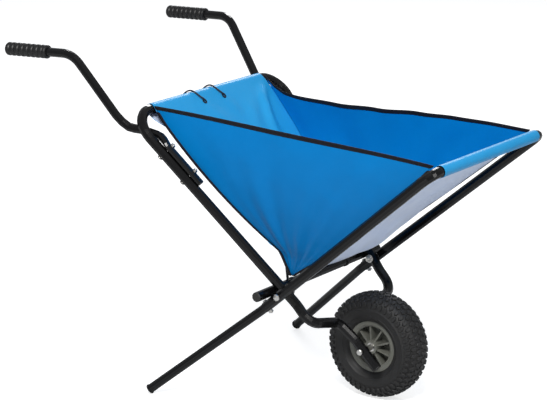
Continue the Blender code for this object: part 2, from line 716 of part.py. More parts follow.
def sleeveLine(place, barAt, lift, turnSteps):
    """Cloth line from the panel, round the bar and back down to the sleeve's seam."""
    points = []
    for k in range(turnSteps + 1):
        turn = math.pi / 2 - (math.pi + 0.18) * k / turnSteps
        points.append(place(barAt + sleeveRadius * math.cos(turn), 0, sleeveRadius * math.sin(turn)))
    points.append(place(barAt - sleeveDrop, 0, lift - clothThick - gap))
    return points


def makePanel(name, place, length, widthAt, liftAt):
    """A panel from the floor band up to its bar, with its sleeve round the bar."""
    seam = length - sleeveDrop
    stations = [floorRun + gap] + [p for p in reversed(rowPlaces(length)) if floorRun < p < seam]
    stations.append(seam)
    line = [place(p, 0, liftAt(p)) for p in stations]
    halves = [edgeHalf(widthAt, length, p) for p in stations]
    loop = sleeveLine(place, length, liftAt(seam), 9)
    top = edgeHalf(widthAt, length, length)
    line += loop
    halves += [top - 0.003] * (len(loop) - 1) + [edgeHalf(widthAt, length, seam) - 0.002]
    return makeStrip(name, line, lineNormals(line), halves, clothThick, "blueCloth")


makePanel("tub_rear_panel", onRear, rearLength, tubRearHalf, lambda along: panelLift)
makePanel("tub_front_panel", onFront, frontLength, tubFrontHalf, frontLift)

# floor band: from the rear panel down over the stop bar and up to the front panel
lowest = barCentre + Vector((0.0020, 0, barRadius + 0.0034))
floorRear = onRear(floorRun - gap, 0, panelLift)
floorFront = onFront(floorRun - gap, 0, frontLift(floorRun))
floorLine = roundCorners([floorRear, lowest, floorFront], [0.012], [5])
floorEase = 0.68             # keeps the floor band's edges inside the cheeks
floorHalves = []
for point in floorLine:
    if point.x < lowest.x:
        share = (point - lowest).length / (floorRear - lowest).length
        reachHalf = edgeHalf(tubRearHalf, rearLength, floorRun)
    else:
        share = (point - lowest).length / (floorFront - lowest).length
        reachHalf = edgeHalf(tubFrontHalf, frontLength, floorRun)
    floorHalves.append(tubBottomHalf + (reachHalf - tubBottomHalf) * share * floorEase - 4 * gap)
makeStrip("tub_floor", floorLine, lineNormals(floorLine), floorHalves, clothThick, "blueCloth")

# side cheeks: a sheet from the rear edge to the front edge, hanging below its top edge
rearPlaces = rowPlaces(rearLength)
frontPlaces = rowPlaces(frontLength)
for side, sign in sideNames:
    rows = []
    for r in range(cheekRows):
        depth = r / (cheekRows - 1)
        alongR = rearPlaces[r]
        alongF = frontPlaces[r]
        rise = cheekRise if r == 0 else 0.0
        back = onRear(alongR, sign * (tubRearHalf(alongR) + gap), panelLift - 0.0020 + rise)
        fore = onFront(alongF, sign * (tubFrontHalf(alongF) + gap), frontLift(alongF) - 0.0020 + rise)
        if r == cheekRows - 1:
            back = lowest + Vector((-0.004, sign * (tubBottomHalf + gap), 0.005))
            fore = lowest + Vector((0.008, sign * (tubBottomHalf + gap), 0.005))
        row = []
        for c in range(cheekCols):
            share = c / (cheekCols - 1)
            belly = 4 * share * (1 - share) * (1 - depth) ** 1.5
            point = back.lerp(fore, share)
            point.z -= topSag * belly
            point.y -= sign * topInward * belly
            row.append((point, across * sign))
        rows.append(row)
    makeSkin("tub_side_" + side, rows, clothThick, "blueCloth")
    # binding tapes lie on the cheek's outer face along its three edges
    tapeLift = clothThick + 4 * gap
    tapeWide = 0.0100
    tapeThick = 0.0010
    topRow = []
    underRow = []
    for c in range(cheekCols):
        topPoint = rows[0][c][0]
        nextPoint = rows[1][c][0]
        downDir = (nextPoint - topPoint).normalized()
        topRow.append((topPoint + across * (sign * tapeLift), across * sign))
        underRow.append((topPoint + downDir * tapeWide + across * (sign * tapeLift), across * sign))
    makeSkin("top_binding_" + side, [topRow, underRow], tapeThick, "bindingTape")
    for label, col, inner in (("rear", 0, 1),):
        edge = []
        inset = []
        for r in range(cheekRows):
            here = rows[r][col][0]
            beside = (rows[r][inner][0] - here).normalized()
            if r == 0:
                along = (rows[1][col][0] - here).normalized()
                here = here + along * (tapeWide * 1.6)
            edge.append((here + across * (sign * tapeLift), across * sign))
            inset.append((here + beside * (tapeWide * 0.9) + across * (sign * tapeLift), across * sign))
        makeSkin(label + "_binding_" + side, [edge, inset], tapeThick, "bindingTape")

# webbing ties from the tub's lower corners round the stop bar
tieHalf = 0.0045
for side, sign in sideNames:
    tieY = sign * (tubBottomHalf - 0.0060)
    ring = barRadius + gap + 0.0007
    line = []
    for k in range(13):
        turn = math.radians(165) + 2 * math.pi * 0.93 * k / 12
        line.append(barCentre + Vector((math.cos(turn), 0, math.sin(turn))) * ring)
    first = line[0]
    tieTop = floorRear.lerp(lowest, 0.22) + Vector((-0.0030, 0, -0.0010))
    line = [tieTop, tieTop.lerp(first, 0.5)] + line
    line = [p + across * tieY for p in line]
    makeStrip("bar_tie_" + side, line, lineNormals(line), [tieHalf] * len(line), 0.0012, "bindingTape")

# eyelets in the rear panel just under the bar
eyeDrop = 0.025
eyeSpots = (("right", -0.043), ("left", 0.0355))
for side, spot in eyeSpots:
    centre = onRear(rearLength - eyeDrop, spot, panelLift + clothThick / 2 + gap)
    profile = [(0.0032, 0), (0.0068, 0), (0.0064, 0.0009), (0.0034, 0.0009)]
    makeTurned("eyelet_" + side, profile, centre, rearFace, "steel", 14)

# closure cord: from one eyelet over the bar, a hanging bight behind, back to the other
barAt = onRear(rearLength, 0)
clear = sleeveRadius + clothThick / 2 + cordRadius + 0.0012
firstSpot = eyeSpots[0][1]
lastSpot = eyeSpots[1][1]
eyeLift = panelLift + clothThick / 2 + cordRadius + 0.0022
overBar = rearFace * (clear * 0.72) + rearUp * (clear * 0.72)
behindBar = rearUp * clear * 0.98 - rearFace * clear * 0.35
route = [
    onRear(rearLength - eyeDrop, firstSpot, eyeLift),
    onRear(rearLength - 0.013, firstSpot - 0.009, clear + 0.0012),
    barAt + overBar + across * (firstSpot - 0.019),
    barAt + behindBar + across * (firstSpot - 0.026),
    barAt + Vector((-clear - 0.004, firstSpot - 0.029, -0.012)),
    barAt + Vector((-clear - 0.005, firstSpot - 0.028, -0.045)),
    barAt + Vector((-clear - 0.004, firstSpot - 0.014, -0.076)),
    barAt + Vector((-clear - 0.003, firstSpot + 0.008, -0.088)),
    barAt + Vector((-clear - 0.004, firstSpot + 0.030, -0.076)),
    barAt + Vector((-clear - 0.005, lastSpot - 0.031, -0.045)),
    barAt + Vector((-clear - 0.004, lastSpot - 0.029, -0.012)),
    barAt + behindBar + across * (lastSpot - 0.026),
    barAt + overBar + across * (lastSpot - 0.019),
    onRear(rearLength - 0.013, lastSpot - 0.009, clear + 0.0012),
    onRear(rearLength - eyeDrop, lastSpot, eyeLift),
]


def smoothRoute(points, steps):
    out = []
    for i in range(len(points) - 1):
        p0 = points[max(i - 1, 0)]
        p1, p2 = points[i], points[i + 1]
        p3 = points[min(i + 2, len(points) - 1)]
        for k in range(steps):
            u = k / steps
            out.append(0.5 * (2 * p1 + (p2 - p0) * u + (2 * p0 - 5 * p1 + 4 * p2 - p3) * u ** 2
                              + (3 * p1 - p0 - 3 * p2 + p3) * u ** 3))
    out.append(points[-1])
    return out


cordPoints = smoothRoute(route, 3)
curve = bpy.data.curves.new("closure_cord", "CURVE")
curve.dimensions = "3D"
curve.bevel_depth = cordRadius
curve.bevel_resolution = 2
curve.use_fill_caps = True
spline = curve.splines.new("POLY")
spline.points.add(len(cordPoints) - 1)
for i, point in enumerate(cordPoints):
    spline.points[i].co = (*point, 1)
cord = bpy.data.objects.new("closure_cord", curve)
bpy.context.scene.collection.objects.link(cord)
colour, roughness, metallic = looks["bindingTape"]
curve.materials.append(makeMaterial("closure_cordLook", colour, roughness, metallic))

# ---- moving pieces turn about their own origins ----
for piece in (tyre, rim, bpy.data.objects["inner_tube"], bearings[0], bearings[1]):
    moveOrigin(piece, axle)
foldPieces = ["front_tube", "leg_right", "leg_left", "foot_cap_right", "foot_cap_left",
              "leg_bolt_right", "leg_bolt_left", "leg_nut_right", "leg_nut_left", "tub_front_panel"]
for name in foldPieces:
    moveOrigin(bpy.data.objects[name], pivot)

# ---- the cart's origin: on the floor, midway between its front and rear ends ----
rearmost = pivot.x - gripReach - 0.006
foremost = onFront(frontLength, 0).x + sleeveRadius + clothThick / 2
shift = Vector((-(rearmost + foremost) / 2, 0, 0))
for obj in bpy.data.objects:
    obj.location = obj.location + shift
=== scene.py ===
import json
import math
import bpy
import bmesh
from mathutils import Matrix, Vector, noise
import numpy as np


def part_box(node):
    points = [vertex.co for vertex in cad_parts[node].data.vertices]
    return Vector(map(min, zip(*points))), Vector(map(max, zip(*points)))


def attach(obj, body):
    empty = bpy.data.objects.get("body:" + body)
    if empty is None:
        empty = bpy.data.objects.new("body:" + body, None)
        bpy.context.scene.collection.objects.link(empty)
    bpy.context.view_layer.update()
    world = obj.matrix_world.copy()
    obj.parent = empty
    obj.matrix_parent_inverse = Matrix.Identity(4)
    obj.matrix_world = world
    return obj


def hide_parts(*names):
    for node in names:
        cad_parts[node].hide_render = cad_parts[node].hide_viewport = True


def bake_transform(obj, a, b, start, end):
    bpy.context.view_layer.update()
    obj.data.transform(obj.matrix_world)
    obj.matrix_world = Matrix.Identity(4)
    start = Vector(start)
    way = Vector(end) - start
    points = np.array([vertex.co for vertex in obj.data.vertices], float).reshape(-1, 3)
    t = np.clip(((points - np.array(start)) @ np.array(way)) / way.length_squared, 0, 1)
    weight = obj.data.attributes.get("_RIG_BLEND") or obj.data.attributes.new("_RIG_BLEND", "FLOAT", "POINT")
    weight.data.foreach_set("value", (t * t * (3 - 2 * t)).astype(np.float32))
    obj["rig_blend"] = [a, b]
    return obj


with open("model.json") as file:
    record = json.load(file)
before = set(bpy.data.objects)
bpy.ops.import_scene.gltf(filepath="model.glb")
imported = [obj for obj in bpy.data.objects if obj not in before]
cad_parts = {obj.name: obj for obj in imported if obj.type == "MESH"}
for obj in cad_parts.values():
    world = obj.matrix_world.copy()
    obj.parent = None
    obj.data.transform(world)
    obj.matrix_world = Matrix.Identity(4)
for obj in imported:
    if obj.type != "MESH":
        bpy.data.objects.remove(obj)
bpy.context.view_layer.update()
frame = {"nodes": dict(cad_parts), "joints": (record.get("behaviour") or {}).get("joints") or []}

nodes = frame["nodes"]
scene = bpy.context.scene

# where the cart's two frames lie, metres
joints = {j["name"]: j for j in frame["joints"]}
pivot = Vector(joints["fold"]["pos_m"])
axle = Vector(joints["wheel_spin"]["pos_m"])
across = Vector((0, 1, 0))
rearAngle = math.atan2(pivot.z - axle.z, axle.x - pivot.x)
frontAngle = math.radians(40.2)
rearUp = Vector((-math.cos(rearAngle), 0, math.sin(rearAngle)))
rearFace = Vector((math.sin(rearAngle), 0, math.cos(rearAngle)))
frontUp = Vector((math.cos(frontAngle), 0, math.sin(frontAngle)))
frontFace = Vector((-math.sin(frontAngle), 0, math.cos(frontAngle)))


def onRear(along, side, lift=0.0):
    return pivot + rearUp * along + across * side + rearFace * lift


def onFront(along, side, lift=0.0):
    return pivot + frontUp * along + across * side + frontFace * lift


# camera, floor and light
studio = {
    "cameraPlace": (3.04774, -4.30077, 1.84451),
    "cameraTurn": (75.1025, 0.0, 35.5349),   # degrees
    "lens": 147.574,
    "floorSize": 60.0,
    "floorColour": (0.62, 0.625, 0.63),
    "floorGlow": 0.70,       # keeps the far floor as pale as the near floor
    "worldColour": (0.93, 0.96, 1.0),
    "worldStrength": 0.35,
}
lamps = [  # name, place, aim, width, height, watts, colour
    ("keyPanel", (1.6, -3.0, 4.0), (0.0, 0.0, 0.45), 1.6, 1.2, 190.0, (1.0, 0.99, 0.97)),
    ("backPanel", (-1.9, 3.6, 3.0), (0.0, 0.0, 0.5), 2.0, 0.7, 60.0, (1.0, 1.0, 1.0)),
    ("rightPanel", (4.2, -1.2, 1.9), (0.1, 0.0, 0.4), 0.5, 2.2, 22.0, (1.0, 0.98, 0.96)),
]


def makeActive(obj):
    if bpy.context.mode != "OBJECT":
        bpy.ops.object.mode_set(mode="OBJECT")
    bpy.ops.object.select_all(action="DESELECT")
    if obj is not None:
        obj.select_set(True)
        bpy.context.view_layer.objects.active = obj


def buildStudio():
    cameraData = bpy.data.cameras.new("studioCamera")
    cameraData.lens = studio["lens"]
    cameraData.sensor_width = 36.0
    cameraData.clip_end = 200.0
    camera = bpy.data.objects.new("studioCamera", cameraData)
    scene.collection.objects.link(camera)
    camera.location = studio["cameraPlace"]
    camera.rotation_euler = [math.radians(t) for t in studio["cameraTurn"]]
    scene.camera = camera
    for name, place, aim, wide, high, watts, colour in lamps:
        data = bpy.data.lights.new(name, "AREA")
        data.shape = "RECTANGLE"
        data.size = wide
        data.size_y = high
        data.energy = watts
        data.color = colour
        lamp = bpy.data.objects.new(name, data)
        scene.collection.objects.link(lamp)
        lamp.location = place
        lamp.rotation_euler = (Vector(aim) - Vector(place)).to_track_quat("-Z", "Y").to_euler()
    world = bpy.data.worlds.new("paleRoom")
    world.use_nodes = True
    backing = world.node_tree.nodes["Background"]
    backing.inputs["Color"].default_value = (*studio["worldColour"], 1)
    backing.inputs["Strength"].default_value = studio["worldStrength"]
    scene.world = world
    scene.view_settings.view_transform = "Standard"
    makeActive(None)
    bpy.ops.mesh.primitive_plane_add(size=studio["floorSize"], location=(0, 0, 0))
    floor = bpy.context.active_object
    floor.name = "studioFloor"
    floorLook = bpy.data.materials.new("paleFloor")
    floorLook.use_nodes = True
    shader = floorLook.node_tree.nodes["Principled BSDF"]
    shader.inputs["Base Color"].default_value = (*studio["floorColour"], 1)
    shader.inputs["Roughness"].default_value = 0.9
    shader.inputs["Specular IOR Level"].default_value = 0.1
    shader.inputs["Emission Color"].default_value = (1.0, 1.0, 1.0, 1)
    seen = floorLook.node_tree.nodes.new("ShaderNodeLightPath")
    glow = floorLook.node_tree.nodes.new("ShaderNodeMath")
    glow.operation = "MULTIPLY"
    glow.inputs[1].default_value = studio["floorGlow"]
    floorLook.node_tree.links.new(seen.outputs["Is Camera Ray"], glow.inputs[0])
    floorLook.node_tree.links.new(glow.outputs[0], shader.inputs["Emission Strength"])
    floor.data.materials.append(floorLook)


buildStudio()
print("stage: studio ready")


# shared effects for the finishes
def newGroup(name, inputs, outputs):
    group = bpy.data.node_groups.new(name, "ShaderNodeTree")
    for socketName, kind, value in inputs:
        made = group.interface.new_socket(name=socketName, in_out="INPUT", socket_type=kind)
        if value is not None:
            made.default_value = value
    for socketName, kind in outputs:
        group.interface.new_socket(name=socketName, in_out="OUTPUT", socket_type=kind)
    source = group.nodes.new("NodeGroupInput")
    target = group.nodes.new("NodeGroupOutput")
    return group, source, target


def addMath(tree, operation, first, second=None, clamp=False):
    node = tree.nodes.new("ShaderNodeMath")
    node.operation = operation
    node.use_clamp = clamp
    for slot, value in ((0, first), (1, second)):
        if value is None:
            continue
        if isinstance(value, (int, float)):
            node.inputs[slot].default_value = value
        else:
            tree.links.new(value, node.inputs[slot])
    return node.outputs[0]


def addNoise(tree, vector, scale, detail, rough=0.5):
    node = tree.nodes.new("ShaderNodeTexNoise")
    node.inputs["Detail"].default_value = detail
    node.inputs["Roughness"].default_value = rough
    tree.links.new(scale, node.inputs["Scale"])
    tree.links.new(vector, node.inputs["Vector"])
    return node.outputs["Fac"]


def buildWeaveGroup():
    group, source, target = newGroup(
        "clothWeave",
        [("Place", "NodeSocketVector", None), ("Threads", "NodeSocketFloat", 1100.0)],
        [("Height", "NodeSocketFloat")])
    split = group.nodes.new("ShaderNodeSeparateXYZ")
    group.links.new(source.outputs["Place"], split.inputs[0])
    u = addMath(group, "MULTIPLY", split.outputs[0], source.outputs["Threads"])
    v = addMath(group, "MULTIPLY", split.outputs[1], source.outputs["Threads"])
    pi = math.pi
    warp = addMath(group, "ABSOLUTE", addMath(group, "SINE", addMath(group, "MULTIPLY", u, pi)))
    weft = addMath(group, "ABSOLUTE", addMath(group, "SINE", addMath(group, "MULTIPLY", v, pi)))
    total = addMath(group, "ADD", addMath(group, "FLOOR", u), addMath(group, "FLOOR", v))
    over = addMath(group, "MODULO", addMath(group, "ABSOLUTE", total), 2.0)
    under = addMath(group, "SUBTRACT", 1.0, over)
    height = addMath(group, "ADD", addMath(group, "MULTIPLY", warp, over),
                     addMath(group, "MULTIPLY", weft, under))
    group.links.new(height, target.inputs["Height"])
    return group


def buildStitchGroup():
    group, source, target = newGroup(
        "stitchRow",
        [("Along", "NodeSocketFloat", 0.0), ("Across", "NodeSocketFloat", 0.0),
         ("Line", "NodeSocketFloat", 0.0), ("Pitch", "NodeSocketFloat", 0.004),
         ("Half Width", "NodeSocketFloat", 0.0006)],
        [("Thread", "NodeSocketFloat"), ("Groove And Shade", "NodeSocketFloat")])
    away = addMath(group, "ABSOLUTE", addMath(group, "SUBTRACT", source.outputs["Across"],
                                              source.outputs["Line"]))
    near = addMath(group, "LESS_THAN", away, source.outputs["Half Width"])
    turn = addMath(group, "FRACT", addMath(group, "DIVIDE", source.outputs["Along"],
                                           source.outputs["Pitch"]))
    dash = addMath(group, "LESS_THAN", turn, 0.66)
    group.links.new(addMath(group, "MULTIPLY", near, dash), target.inputs["Thread"])
    # this mask deepens the seam's groove in the bump and also darkens its colour, which is painted shade
    wide = addMath(group, "MULTIPLY", source.outputs["Half Width"], 4.0)
    grooveAndShade = addMath(group, "SUBTRACT", 1.0, addMath(group, "DIVIDE", away, wide), clamp=True)
    group.links.new(grooveAndShade, target.inputs["Groove And Shade"])
    return group


def buildWearGroup():
    group, source, target = newGroup(
        "fineWear",
        [("Place", "NodeSocketVector", None), ("Grain", "NodeSocketFloat", 400.0),
         ("Patch", "NodeSocketFloat", 9.0), ("Base Rough", "NodeSocketFloat", 0.4),
         ("Spread", "NodeSocketFloat", 0.1)],
        [("Rough", "NodeSocketFloat"), ("Height", "NodeSocketFloat"), ("Patches", "NodeSocketFloat")])
    grain = addNoise(group, source.outputs["Place"], source.outputs["Grain"], 2.0)
    patch = addNoise(group, source.outputs["Place"], source.outputs["Patch"], 4.0, 0.6)
    swing = addMath(group, "MULTIPLY", addMath(group, "SUBTRACT", patch, 0.5),
                    source.outputs["Spread"])
    rough = addMath(group, "ADD", source.outputs["Base Rough"], swing, clamp=True)
    group.links.new(rough, target.inputs["Rough"])
    group.links.new(grain, target.inputs["Height"])
    group.links.new(patch, target.inputs["Patches"])
    return group


weaveGroup = buildWeaveGroup()
stitchGroup = buildStitchGroup()
wearGroup = buildWearGroup()


def newLook(name, colour, **fixed):
    look = bpy.data.materials.new(name)
    look.use_nodes = True
    shader = look.node_tree.nodes["Principled BSDF"]
    shader.inputs["Base Color"].default_value = (*colour, 1)
    for socketName, value in fixed.items():
        shader.inputs[socketName.replace("_", " ")].default_value = value
    look.diffuse_color = (*colour, 1)
    return look, look.node_tree, shader


def placeGroup(tree, group, **values):
    node = tree.nodes.new("ShaderNodeGroup")
    node.node_tree = group
    for socketName, value in values.items():
        socket = node.inputs[socketName.replace("_", " ")]
        if hasattr(value, "node"):
            tree.links.new(value, socket)
        else:
            socket.default_value = value
    return node


def objectPlace(tree):
    return tree.nodes.new("ShaderNodeTexCoord").outputs["Object"]


def addBump(tree, shader, height, strength, distance, before=None):
    bump = tree.nodes.new("ShaderNodeBump")
    bump.inputs["Strength"].default_value = strength
    bump.inputs["Distance"].default_value = distance
    tree.links.new(height, bump.inputs["Height"])
    if before is not None:
        tree.links.new(before, bump.inputs["Normal"])
    tree.links.new(bump.outputs["Normal"], shader.inputs["Normal"])
    return bump.outputs["Normal"]


def mixColour(tree, share, first, second):
    mix = tree.nodes.new("ShaderNodeMix")
    mix.data_type = "RGBA"
    tree.links.new(share, mix.inputs[0])
    for slot, value in ((6, first), (7, second)):
        if isinstance(value, tuple):
            mix.inputs[slot].default_value = (*value, 1)
        else:
            tree.links.new(value, mix.inputs[slot])
    return mix.outputs[2]


def solidLook(name, colour, patchColour, rough, spread, grain, patch, bumpStrength, bumpDepth, **fixed):
    look, tree, shader = newLook(name, colour, **fixed)
    place = objectPlace(tree)
    wear = placeGroup(tree, wearGroup, Place=place, Grain=grain, Patch=patch, Base_Rough=rough,
                      Spread=spread)
    tree.links.new(wear.outputs["Rough"], shader.inputs["Roughness"])
    tree.links.new(mixColour(tree, wear.outputs["Patches"], colour, patchColour),
                   shader.inputs["Base Color"])
    addBump(tree, shader, wear.outputs["Height"], bumpStrength, bumpDepth)
    return look


finishes = {
    "glossBlack": solidLook("glossBlack", (0.0035, 0.0035, 0.004), (0.006, 0.006, 0.0065), 0.16, 0.08,
                            420.0, 14.0, 0.08, 0.0003, Specular_IOR_Level=0.32),
    "mouldedBlack": solidLook("mouldedBlack", (0.012, 0.012, 0.012), (0.022, 0.022, 0.022), 0.46, 0.15,
                              900.0, 30.0, 0.18, 0.0003),
    "gripRubber": solidLook("gripRubber", (0.005, 0.005, 0.0055), (0.012, 0.012, 0.0125), 0.42, 0.2,
                            1200.0, 25.0, 0.20, 0.0003),
    "zincSteel": solidLook("zincSteel", (0.62, 0.61, 0.58), (0.75, 0.74, 0.72), 0.30, 0.2,
                           700.0, 40.0, 0.12, 0.0002, Metallic=1.0),
    "rimGrey": solidLook("rimGrey", (0.135, 0.137, 0.118), (0.165, 0.167, 0.145), 0.42, 0.15,
                         900.0, 22.0, 0.15, 0.0003),
    "tyreBlack": solidLook("tyreBlack", (0.008, 0.008, 0.009), (0.018, 0.0175, 0.017), 0.58, 0.2,
                           700.0, 18.0, 0.3, 0.0005),
}

tubCloth = {
    "blue": (0.0, 0.215, 0.60),
    "deepBlue": (0.0, 0.175, 0.50),
    # the next two colours are a lighter, lit copy of the cloth blue and its darker random patches: painted
    # light for the sling's upper face
    "paintedLitBlue": (0.03, 0.36, 0.74),
    "paintedLitDeepBlue": (0.01, 0.30, 0.66),
    "reverse": (0.76, 0.84, 1.0),
    "deepReverse": (0.56, 0.69, 0.96),
    "tape": (0.0025, 0.0025, 0.005),
    "threads": 1150.0,      # threads to the metre
    "thick": 0.0012,
}


def clothLook(name, first, second, rough, seams, coat):
    look, tree, shader = newLook(name, first, Coat_Weight=coat, Coat_Roughness=0.30,
                                 Specular_IOR_Level=0.12)
    place = objectPlace(tree)
    layout = tree.nodes.new("ShaderNodeUVMap")
    layout.uv_map = "clothLayout"
    weave = placeGroup(tree, weaveGroup, Place=layout.outputs[0], Threads=tubCloth["threads"])
    wear = placeGroup(tree, wearGroup, Place=place, Grain=60.0, Patch=7.0, Base_Rough=rough,
                      Spread=0.22)
    colour = mixColour(tree, wear.outputs["Patches"], first, second)
    split = tree.nodes.new("ShaderNodeSeparateXYZ")
    tree.links.new(layout.outputs[0], split.inputs[0])
    height = addMath(tree, "MULTIPLY", weave.outputs["Height"], 0.25)
    for line in seams:
        row = placeGroup(tree, stitchGroup, Along=split.outputs[0], Across=split.outputs[1],
                         Line=line, Pitch=0.0042, Half_Width=0.0007)
        # the colour is darkened along each seam groove: painted shade in the recess
        colour = mixColour(tree, addMath(tree, "MULTIPLY", row.outputs["Groove And Shade"], 0.45), colour,
                           (first[0] * 0.3, first[1] * 0.3, first[2] * 0.4))
        colour = mixColour(tree, row.outputs["Thread"], colour, (0.01, 0.05, 0.2))
        height = addMath(tree, "ADD", height, addMath(tree, "MULTIPLY", row.outputs["Thread"], 0.9))
        height = addMath(tree, "SUBTRACT", height,
                         addMath(tree, "MULTIPLY", row.outputs["Groove And Shade"], 1.1))
    tree.links.new(colour, shader.inputs["Base Color"])
    tree.links.new(wear.outputs["Rough"], shader.inputs["Roughness"])
    slack = addBump(tree, shader, wear.outputs["Patches"], 0.35, 0.006)
    addBump(tree, shader, height, 0.25, 0.0007, slack)
    return look


def tapeLook():
    look, tree, shader = newLook("wovenTape", tubCloth["tape"], Specular_IOR_Level=0.25)
    layout = tree.nodes.new("ShaderNodeUVMap")
    layout.uv_map = "clothLayout"
    weave = placeGroup(tree, weaveGroup, Place=layout.outputs[0], Threads=900.0)
    split = tree.nodes.new("ShaderNodeSeparateXYZ")
    tree.links.new(layout.outputs[0], split.inputs[0])
    row = placeGroup(tree, stitchGroup, Along=split.outputs[0], Across=split.outputs[1],
                     Line=0.0075, Pitch=0.0040, Half_Width=0.0005)
    colour = mixColour(tree, weave.outputs["Height"], tubCloth["tape"], (0.006, 0.006, 0.011))
    colour = mixColour(tree, row.outputs["Thread"], colour, (0.014, 0.014, 0.022))
    tree.links.new(colour, shader.inputs["Base Color"])
    shader.inputs["Roughness"].default_value = 0.55
    height = addMath(tree, "ADD", addMath(tree, "MULTIPLY", weave.outputs["Height"], 0.4),
                     row.outputs["Thread"])
    addBump(tree, shader, height, 0.5, 0.0006)
    return look


finishes["wovenTape"] = tapeLook()
cordLook, cordTree, cordShader = newLook("cordBraid", (0.008, 0.008, 0.014))
cordShader.inputs["Roughness"].default_value = 0.6
cordWave = cordTree.nodes.new("ShaderNodeTexWave")
cordWave.wave_type = "BANDS"
cordWave.bands_direction = "DIAGONAL"
cordWave.inputs["Scale"].default_value = 260.0
cordTree.links.new(objectPlace(cordTree), cordWave.inputs["Vector"])
cordTree.links.new(mixColour(cordTree, cordWave.outputs["Fac"], (0.006, 0.006, 0.011),
                             (0.022, 0.022, 0.034)), cordShader.inputs["Base Color"])
addBump(cordTree, cordShader, cordWave.outputs["Fac"], 0.5, 0.0004)
finishes["cordBraid"] = cordLook
finishes["tieBlack"] = solidLook("tieBlack", (0.003, 0.003, 0.005), (0.007, 0.007, 0.010), 0.6, 0.1,
                                 900.0, 30.0, 0.3, 0.0004)
finishes["darkRing"] = solidLook("darkRing", (0.02, 0.02, 0.025), (0.04, 0.04, 0.05), 0.35, 0.1,
                                 600.0, 30.0, 0.1, 0.0002, Metallic=0.6)

cadFinish = {
    "glossBlack": ["frame_tube", "front_tube", "handle_left", "handle_right", "leg_left", "leg_right",
                   "stop_bar"],
    "mouldedBlack": ["stop_bar_cap_left", "stop_bar_cap_right", "foot_cap_left", "foot_cap_right",
                     "fork_cap_left", "fork_cap_right", "handle_cap_left", "handle_cap_right",
                     "pivot_washer_left", "pivot_washer_right"],
    "gripRubber": ["grip_left", "grip_right", "inner_tube"],
    "rimGrey": ["rim"],
    "tyreBlack": ["tyre"],
    "tieBlack": ["bar_tie_left", "bar_tie_right"],
    "darkRing": ["eyelet_left", "eyelet_right"],
    "cordBraid": ["closure_cord"],
}
finishOf = {name: finish for finish, names in cadFinish.items() for name in names}
for name, obj in nodes.items():
    for spot in obj.material_slots:
        spot.material = finishes[finishOf.get(name, "zincSteel")]
print("stage: finishes on the metal and plastic parts")

# closure cord over the rear bar
cordFacts = {
    "diameter": 0.004,
    "barAlong": 0.548,       # pivot to the rear bar
    "eyeDrop": 0.025,        # eyelets below the bar
    "eyeSpots": (-0.043, 0.0355),
    "panelLift": 0.0139,     # cloth above the frame's plane
    "clothHalf": 0.0008,
    "space": 0.0012,         # cord to cloth
    "eyeRise": 0.0022,
    "steps": 4,
}


def smoothRoute(points, steps):
    out = []
    for i in range(len(points) - 1):
        p0 = points[max(i - 1, 0)]
        p1, p2 = points[i], points[i + 1]
        p3 = points[min(i + 2, len(points) - 1)]
        for k in range(steps):
            u = k / steps
            out.append(0.5 * (2 * p1 + (p2 - p0) * u + (2 * p0 - 5 * p1 + 4 * p2 - p3) * u ** 2
                              + (3 * p1 - p0 - 3 * p2 + p3) * u ** 3))
    out.append(points[-1])
    return out


def buildCord():
    facts = cordFacts
    bar = facts["barAlong"]
    radius = facts["diameter"] / 2
    clear = facts["panelLift"] + facts["clothHalf"] + radius + facts["space"]
    first, last = facts["eyeSpots"]
    barAt = onRear(bar, 0)
    eyeLift = facts["panelLift"] + facts["clothHalf"] + radius + facts["eyeRise"]
    overBar = rearFace * (clear * 0.72) + rearUp * (clear * 0.72)
    behindBar = rearUp * clear * 0.98 - rearFace * clear * 0.35
    route = [
        onRear(bar - facts["eyeDrop"], first, eyeLift),
        onRear(bar - 0.013, first - 0.009, clear + 0.0012),
        barAt + overBar + across * (first - 0.019),
        barAt + behindBar + across * (first - 0.026),
        barAt + Vector((-clear - 0.004, first - 0.029, -0.012)),
        barAt + Vector((-clear - 0.005, first - 0.028, -0.045)),
        barAt + Vector((-clear - 0.004, first - 0.014, -0.076)),
        barAt + Vector((-clear - 0.003, first + 0.008, -0.088)),
        barAt + Vector((-clear - 0.004, first + 0.030, -0.076)),
        barAt + Vector((-clear - 0.005, last - 0.031, -0.045)),
        barAt + Vector((-clear - 0.004, last - 0.029, -0.012)),
        barAt + behindBar + across * (last - 0.026),
        barAt + overBar + across * (last - 0.019),
        onRear(bar - 0.013, last - 0.009, clear + 0.0012),
        onRear(bar - facts["eyeDrop"], last, eyeLift),
    ]
    line = smoothRoute(route, facts["steps"])
    curve = bpy.data.curves.new("closureCord", "CURVE")
    curve.dimensions = "3D"
    curve.bevel_depth = radius
    curve.bevel_resolution = 3
    curve.use_fill_caps = True
    spline = curve.splines.new("POLY")
    spline.points.add(len(line) - 1)
    for i, point in enumerate(line):
        spline.points[i].co = (*point, 1)
    spline.use_smooth = True
    cord = bpy.data.objects.new("closureCord", curve)
    scene.collection.objects.link(cord)
    curve.materials.append(finishes["cordBraid"])
    length = sum((b - a).length for a, b in zip(line, line[1:]))
    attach(cord, "main_frame")
    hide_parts("closure_cord")
    return length


print("stage: closure cord, %.3f m" % buildCord())

